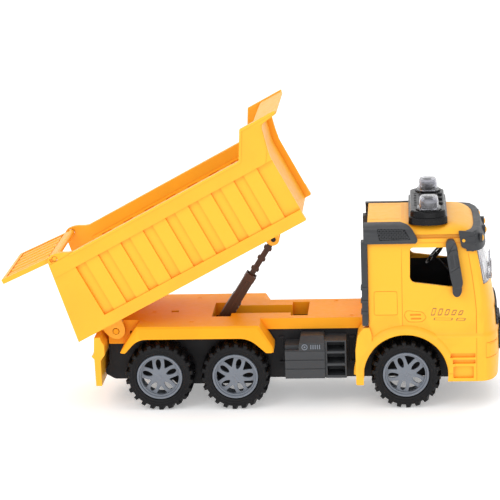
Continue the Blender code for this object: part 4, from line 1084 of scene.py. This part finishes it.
def dump_bed():
    reach = BED_INNER + 0.6
    floor = bed_shape([(1.2, 6.2), (176.6, 6.2), (176.6, 8.4), (1.6, 8.4)], -reach, reach)
    head_line = [(175.2, 0), (177, 0), (177, 48), (179, 56), (183.4, 73.4), (199.9, 73.4), (199.9, 75.6),
                 (181.4, 75.6), (177.2, 56.4), (175.2, 48.4)]
    head = bed_shape(rounded(head_line, (0.4, 0.4, 5, 5, 2.5, 0.5, 0.5, 3, 5, 5)), -reach, reach)
    outline = rounded([(-7, BED_BASE + 7), (-7.4, 3), (-5, -3.4), (0, -6.3), (4.6, -4.8), (7, -0.6),
                       (8.2, BED_BASE + 7)], 2.6)
    lug = cut(slab(outline, -27.4, -23.8), rod(0, 0, 2.4, -40, 40))
    x, z = RAM_PIN
    fork = slab(rounded([(x - 6.5, BED_BASE + 7), (x - 5.2, z), (x - 3.2, z - 3.9), (x + 1.4, z - 4.4),
                         (x + 4.6, z - 1.4), (x + 6.5, BED_BASE + 7)], 2.2), -5.4, -2.9)
    ribs = [bed_block(u, u + 1.6, 3.2, 7, -reach, reach) for u in (30, 60, 90, 120)]
    ribs += both(bed_block(20, 172, 4.4, 7, -14.6, -13))
    skin("dump_bed", heap(*both(bed_wall()), floor, head, *both(lug), *both(fork), *ribs), place=BED,
         bevel=0.32)
    pin_heads = both(rod(*RAM_PIN, 1.7, -5.9, -5.2, 24))
    piece("ram_pin_heads", heap(*pin_heads), "chassis_black", "bed", place=BED, bevel=0.2)


def tailgate():
    """Tray-shaped panel hanging along -Z, rolled round its pins; six long rounded slats on its outer face."""
    low, half = -GATE_LENGTH, GATE_HALF
    panel = slab(rounded([(-1.7, 0.6), (-1.7, low), (1.7, low), (1.7, 0.6)], 0.6, 3), -half, half)
    panel = cut(panel, block(-3, -0.7, -half + 3.2, half - 3.2, low + 3.2, -4.6))
    roll = rod(0, 0, 1.95, -half + 0.4, half - 0.4)
    slats = []
    for k in range(6):
        y = (k - 2.5) * 10.2
        arc = [(-0.75 - 0.95 * math.sin(math.pi * i / 8), y + 3 * math.cos(math.pi * i / 8))
               for i in range(9)]
        slats.append(plate([(-0.2, y - 3), (-0.2, y + 3)] + arc, low + 4.6, -5.8))
    pins = both(rod(0, 0, 1.6, -BED_HALF + 0.5, -half + 1, 24))
    shape = heap(join(panel, roll), *slats, *pins)
    skin("tailgate", shape, place=GATE, bevel=0.3)


def ram():
    """Square tube on its foot pins with ratchet teeth in front, and the knobbed rod that slides out of it."""
    top = 47
    tube = slab(rounded([(-3.8, -1.6), (-1.6, -3.9), (top, -3.8), (top, 3.65), (29, 3.65), (28.4, 4.05),
                         (-1.6, 4.1), (-3.8, 1.6)], (1, 1, 0.3, 0.3, 0.4, 0.4, 1, 1), 3), -4, 4)
    collar = block(top - 4.6, top, -4.2, 4.2, -4.05, 3.9)
    bore = block(3.4, top + 1, -2.3, 2.3, -3.2, 3.2)
    ridges = both(block(2, top - 5, -4.45, -3.8, -0.55, 0.55))
    teeth = [slab([(10 + 3.2 * k, -3.5), (10.4 + 3.2 * k, -4.7), (11.9 + 3.2 * k, -4.7),
                   (12.3 + 3.2 * k, -3.5)], -2.6, 2.6) for k in range(5)]
    pins = both(rod(0, 0, 1.8, -15.6, -3.6, 24))
    barrel = heap(cut(join(tube, collar), bore), *ridges, *teeth, *pins)
    skin("ram_barrel", barrel, place=RAM, bevel=0.4)
    stem = join(block(-50, -1, -1.8, 1.8, -1.9, 1.9), rod(0, 0, 2.6, -2.2, 2.2))
    grooves = both(block(-44, -4, -3, -1.4, -0.6, 0.6))
    knobs = []
    for along in (8.3, 17, 25.8):
        lower = [(-1.3, -2), (-0.9, -2.95), (0.9, -2.95), (1.3, -2)]
        profile = [(x - along, z) for x, z in lower + [(-x, -z) for x, z in lower]]
        knobs.append(slab(rounded(profile, 0.5, 2), -1.7, 1.7))
    rod_shape = heap(cut(stem, rod(0, 0, 1.1, -5, 5, 24), *grooves), *knobs)
    skin("ram_rod", rod_shape, place=ROD, bevel=0.25)


# ---------------- stage, light and camera
def stage_floor():
    """Pale sweep: a flat floor that curves up into a wall behind the truck."""
    rings = []
    for i in range(25):
        t = i / 24
        if t < 0.5:
            y, z = -4 + 12 * t, 0
        else:
            turn = (t - 0.5) * math.pi
            y, z = 2 + 1.6 * math.sin(turn), 1.6 * (1 - math.cos(turn))
        rings.append((y, z))
    rings.append((3.6, 5))
    bm = bmesh.new()
    rows = [[bm.verts.new((x, y, z)) for x in (-6, 6)] for y, z in rings]
    for low, high in zip(rows, rows[1:]):
        bm.faces.new((low[0], low[1], high[1], high[0]))
    mesh = as_mesh(bm)
    mesh.shade_smooth()
    n = Nodes("studio_paper")
    tone = n.blend(n.spread(n.noise(3), 0, 1), (0.93, 0.93, 0.93, 1), (0.95, 0.95, 0.95, 1))
    n.link(tone, n.shader.inputs["Base Color"])
    fill(n.shader, Roughness=0.9, Specular_IOR_Level=0.1, Emission_Color=(1, 1, 1, 1), Emission_Strength=0.3)
    mesh.materials.append(n.material)
    placed("studio_floor", mesh)


def area_light(name, place, target, size, power):
    data = bpy.data.lights.new(name, "AREA")
    data.shape = "RECTANGLE"
    data.size, data.size_y = size
    data.energy = power
    lamp = placed(name, data)
    lamp.location = place
    lamp.rotation_euler = (Vector(target) - Vector(place)).to_track_quat("-Z", "Y").to_euler()


def studio():
    world = bpy.data.worlds.new("studio_world")
    bpy.context.scene.world = world
    world.use_nodes = True
    fill(world.node_tree.nodes["Background"], Color=(1, 1, 1, 1), Strength=0.8)
    area_light("key", (-0.9, -1.3, 1.5), (0, 0, 0.08), (1, 0.8), 6.5)
    area_light("top", (0.2, 0.3, 1.6), (0, 0, 0.05), (1.4, 1.2), 5)
    area_light("front", (0.4, -1.9, 0.5), (0, 0, 0.08), (1.8, 0.9), 7)
    bpy.context.scene.view_settings.view_transform = "Standard"


def camera():
    """A long lens off the right side and above, turned a little towards the bed and leaning slightly."""
    pitch, yaw, roll = 0.261187, -0.083968, -0.037095
    focal_over_width = 3.93492
    place = Vector((122.01 + MIDDLE_AXLE_X, -1328.63, 460.43)) * MM
    ahead = Vector((math.sin(yaw) * math.cos(pitch), math.cos(yaw) * math.cos(pitch), -math.sin(pitch)))
    right = Vector((math.cos(yaw), -math.sin(yaw), 0))
    up = right.cross(ahead)
    across = right * math.cos(roll) + up * math.sin(roll)
    upright = up * math.cos(roll) - right * math.sin(roll)
    data = bpy.data.cameras.new("main_view")
    data.sensor_width = 36
    data.lens = focal_over_width * data.sensor_width
    data.clip_start, data.clip_end = 0.05, 20
    lens = placed("main_view", data)
    turn = Matrix((across, upright, -ahead)).transposed().to_4x4()
    lens.matrix_world = Matrix.Translation(place) @ turn
    bpy.context.scene.camera = lens


for make in (camera, studio, stage_floor, wheels, cab, cab_liner, door_badge, windshield, grille, visor,
             fairings, mirrors, light_bar, beacons, deck, chassis, side_boxes, plain_parts, dump_bed,
             tailgate, ram):
    make()
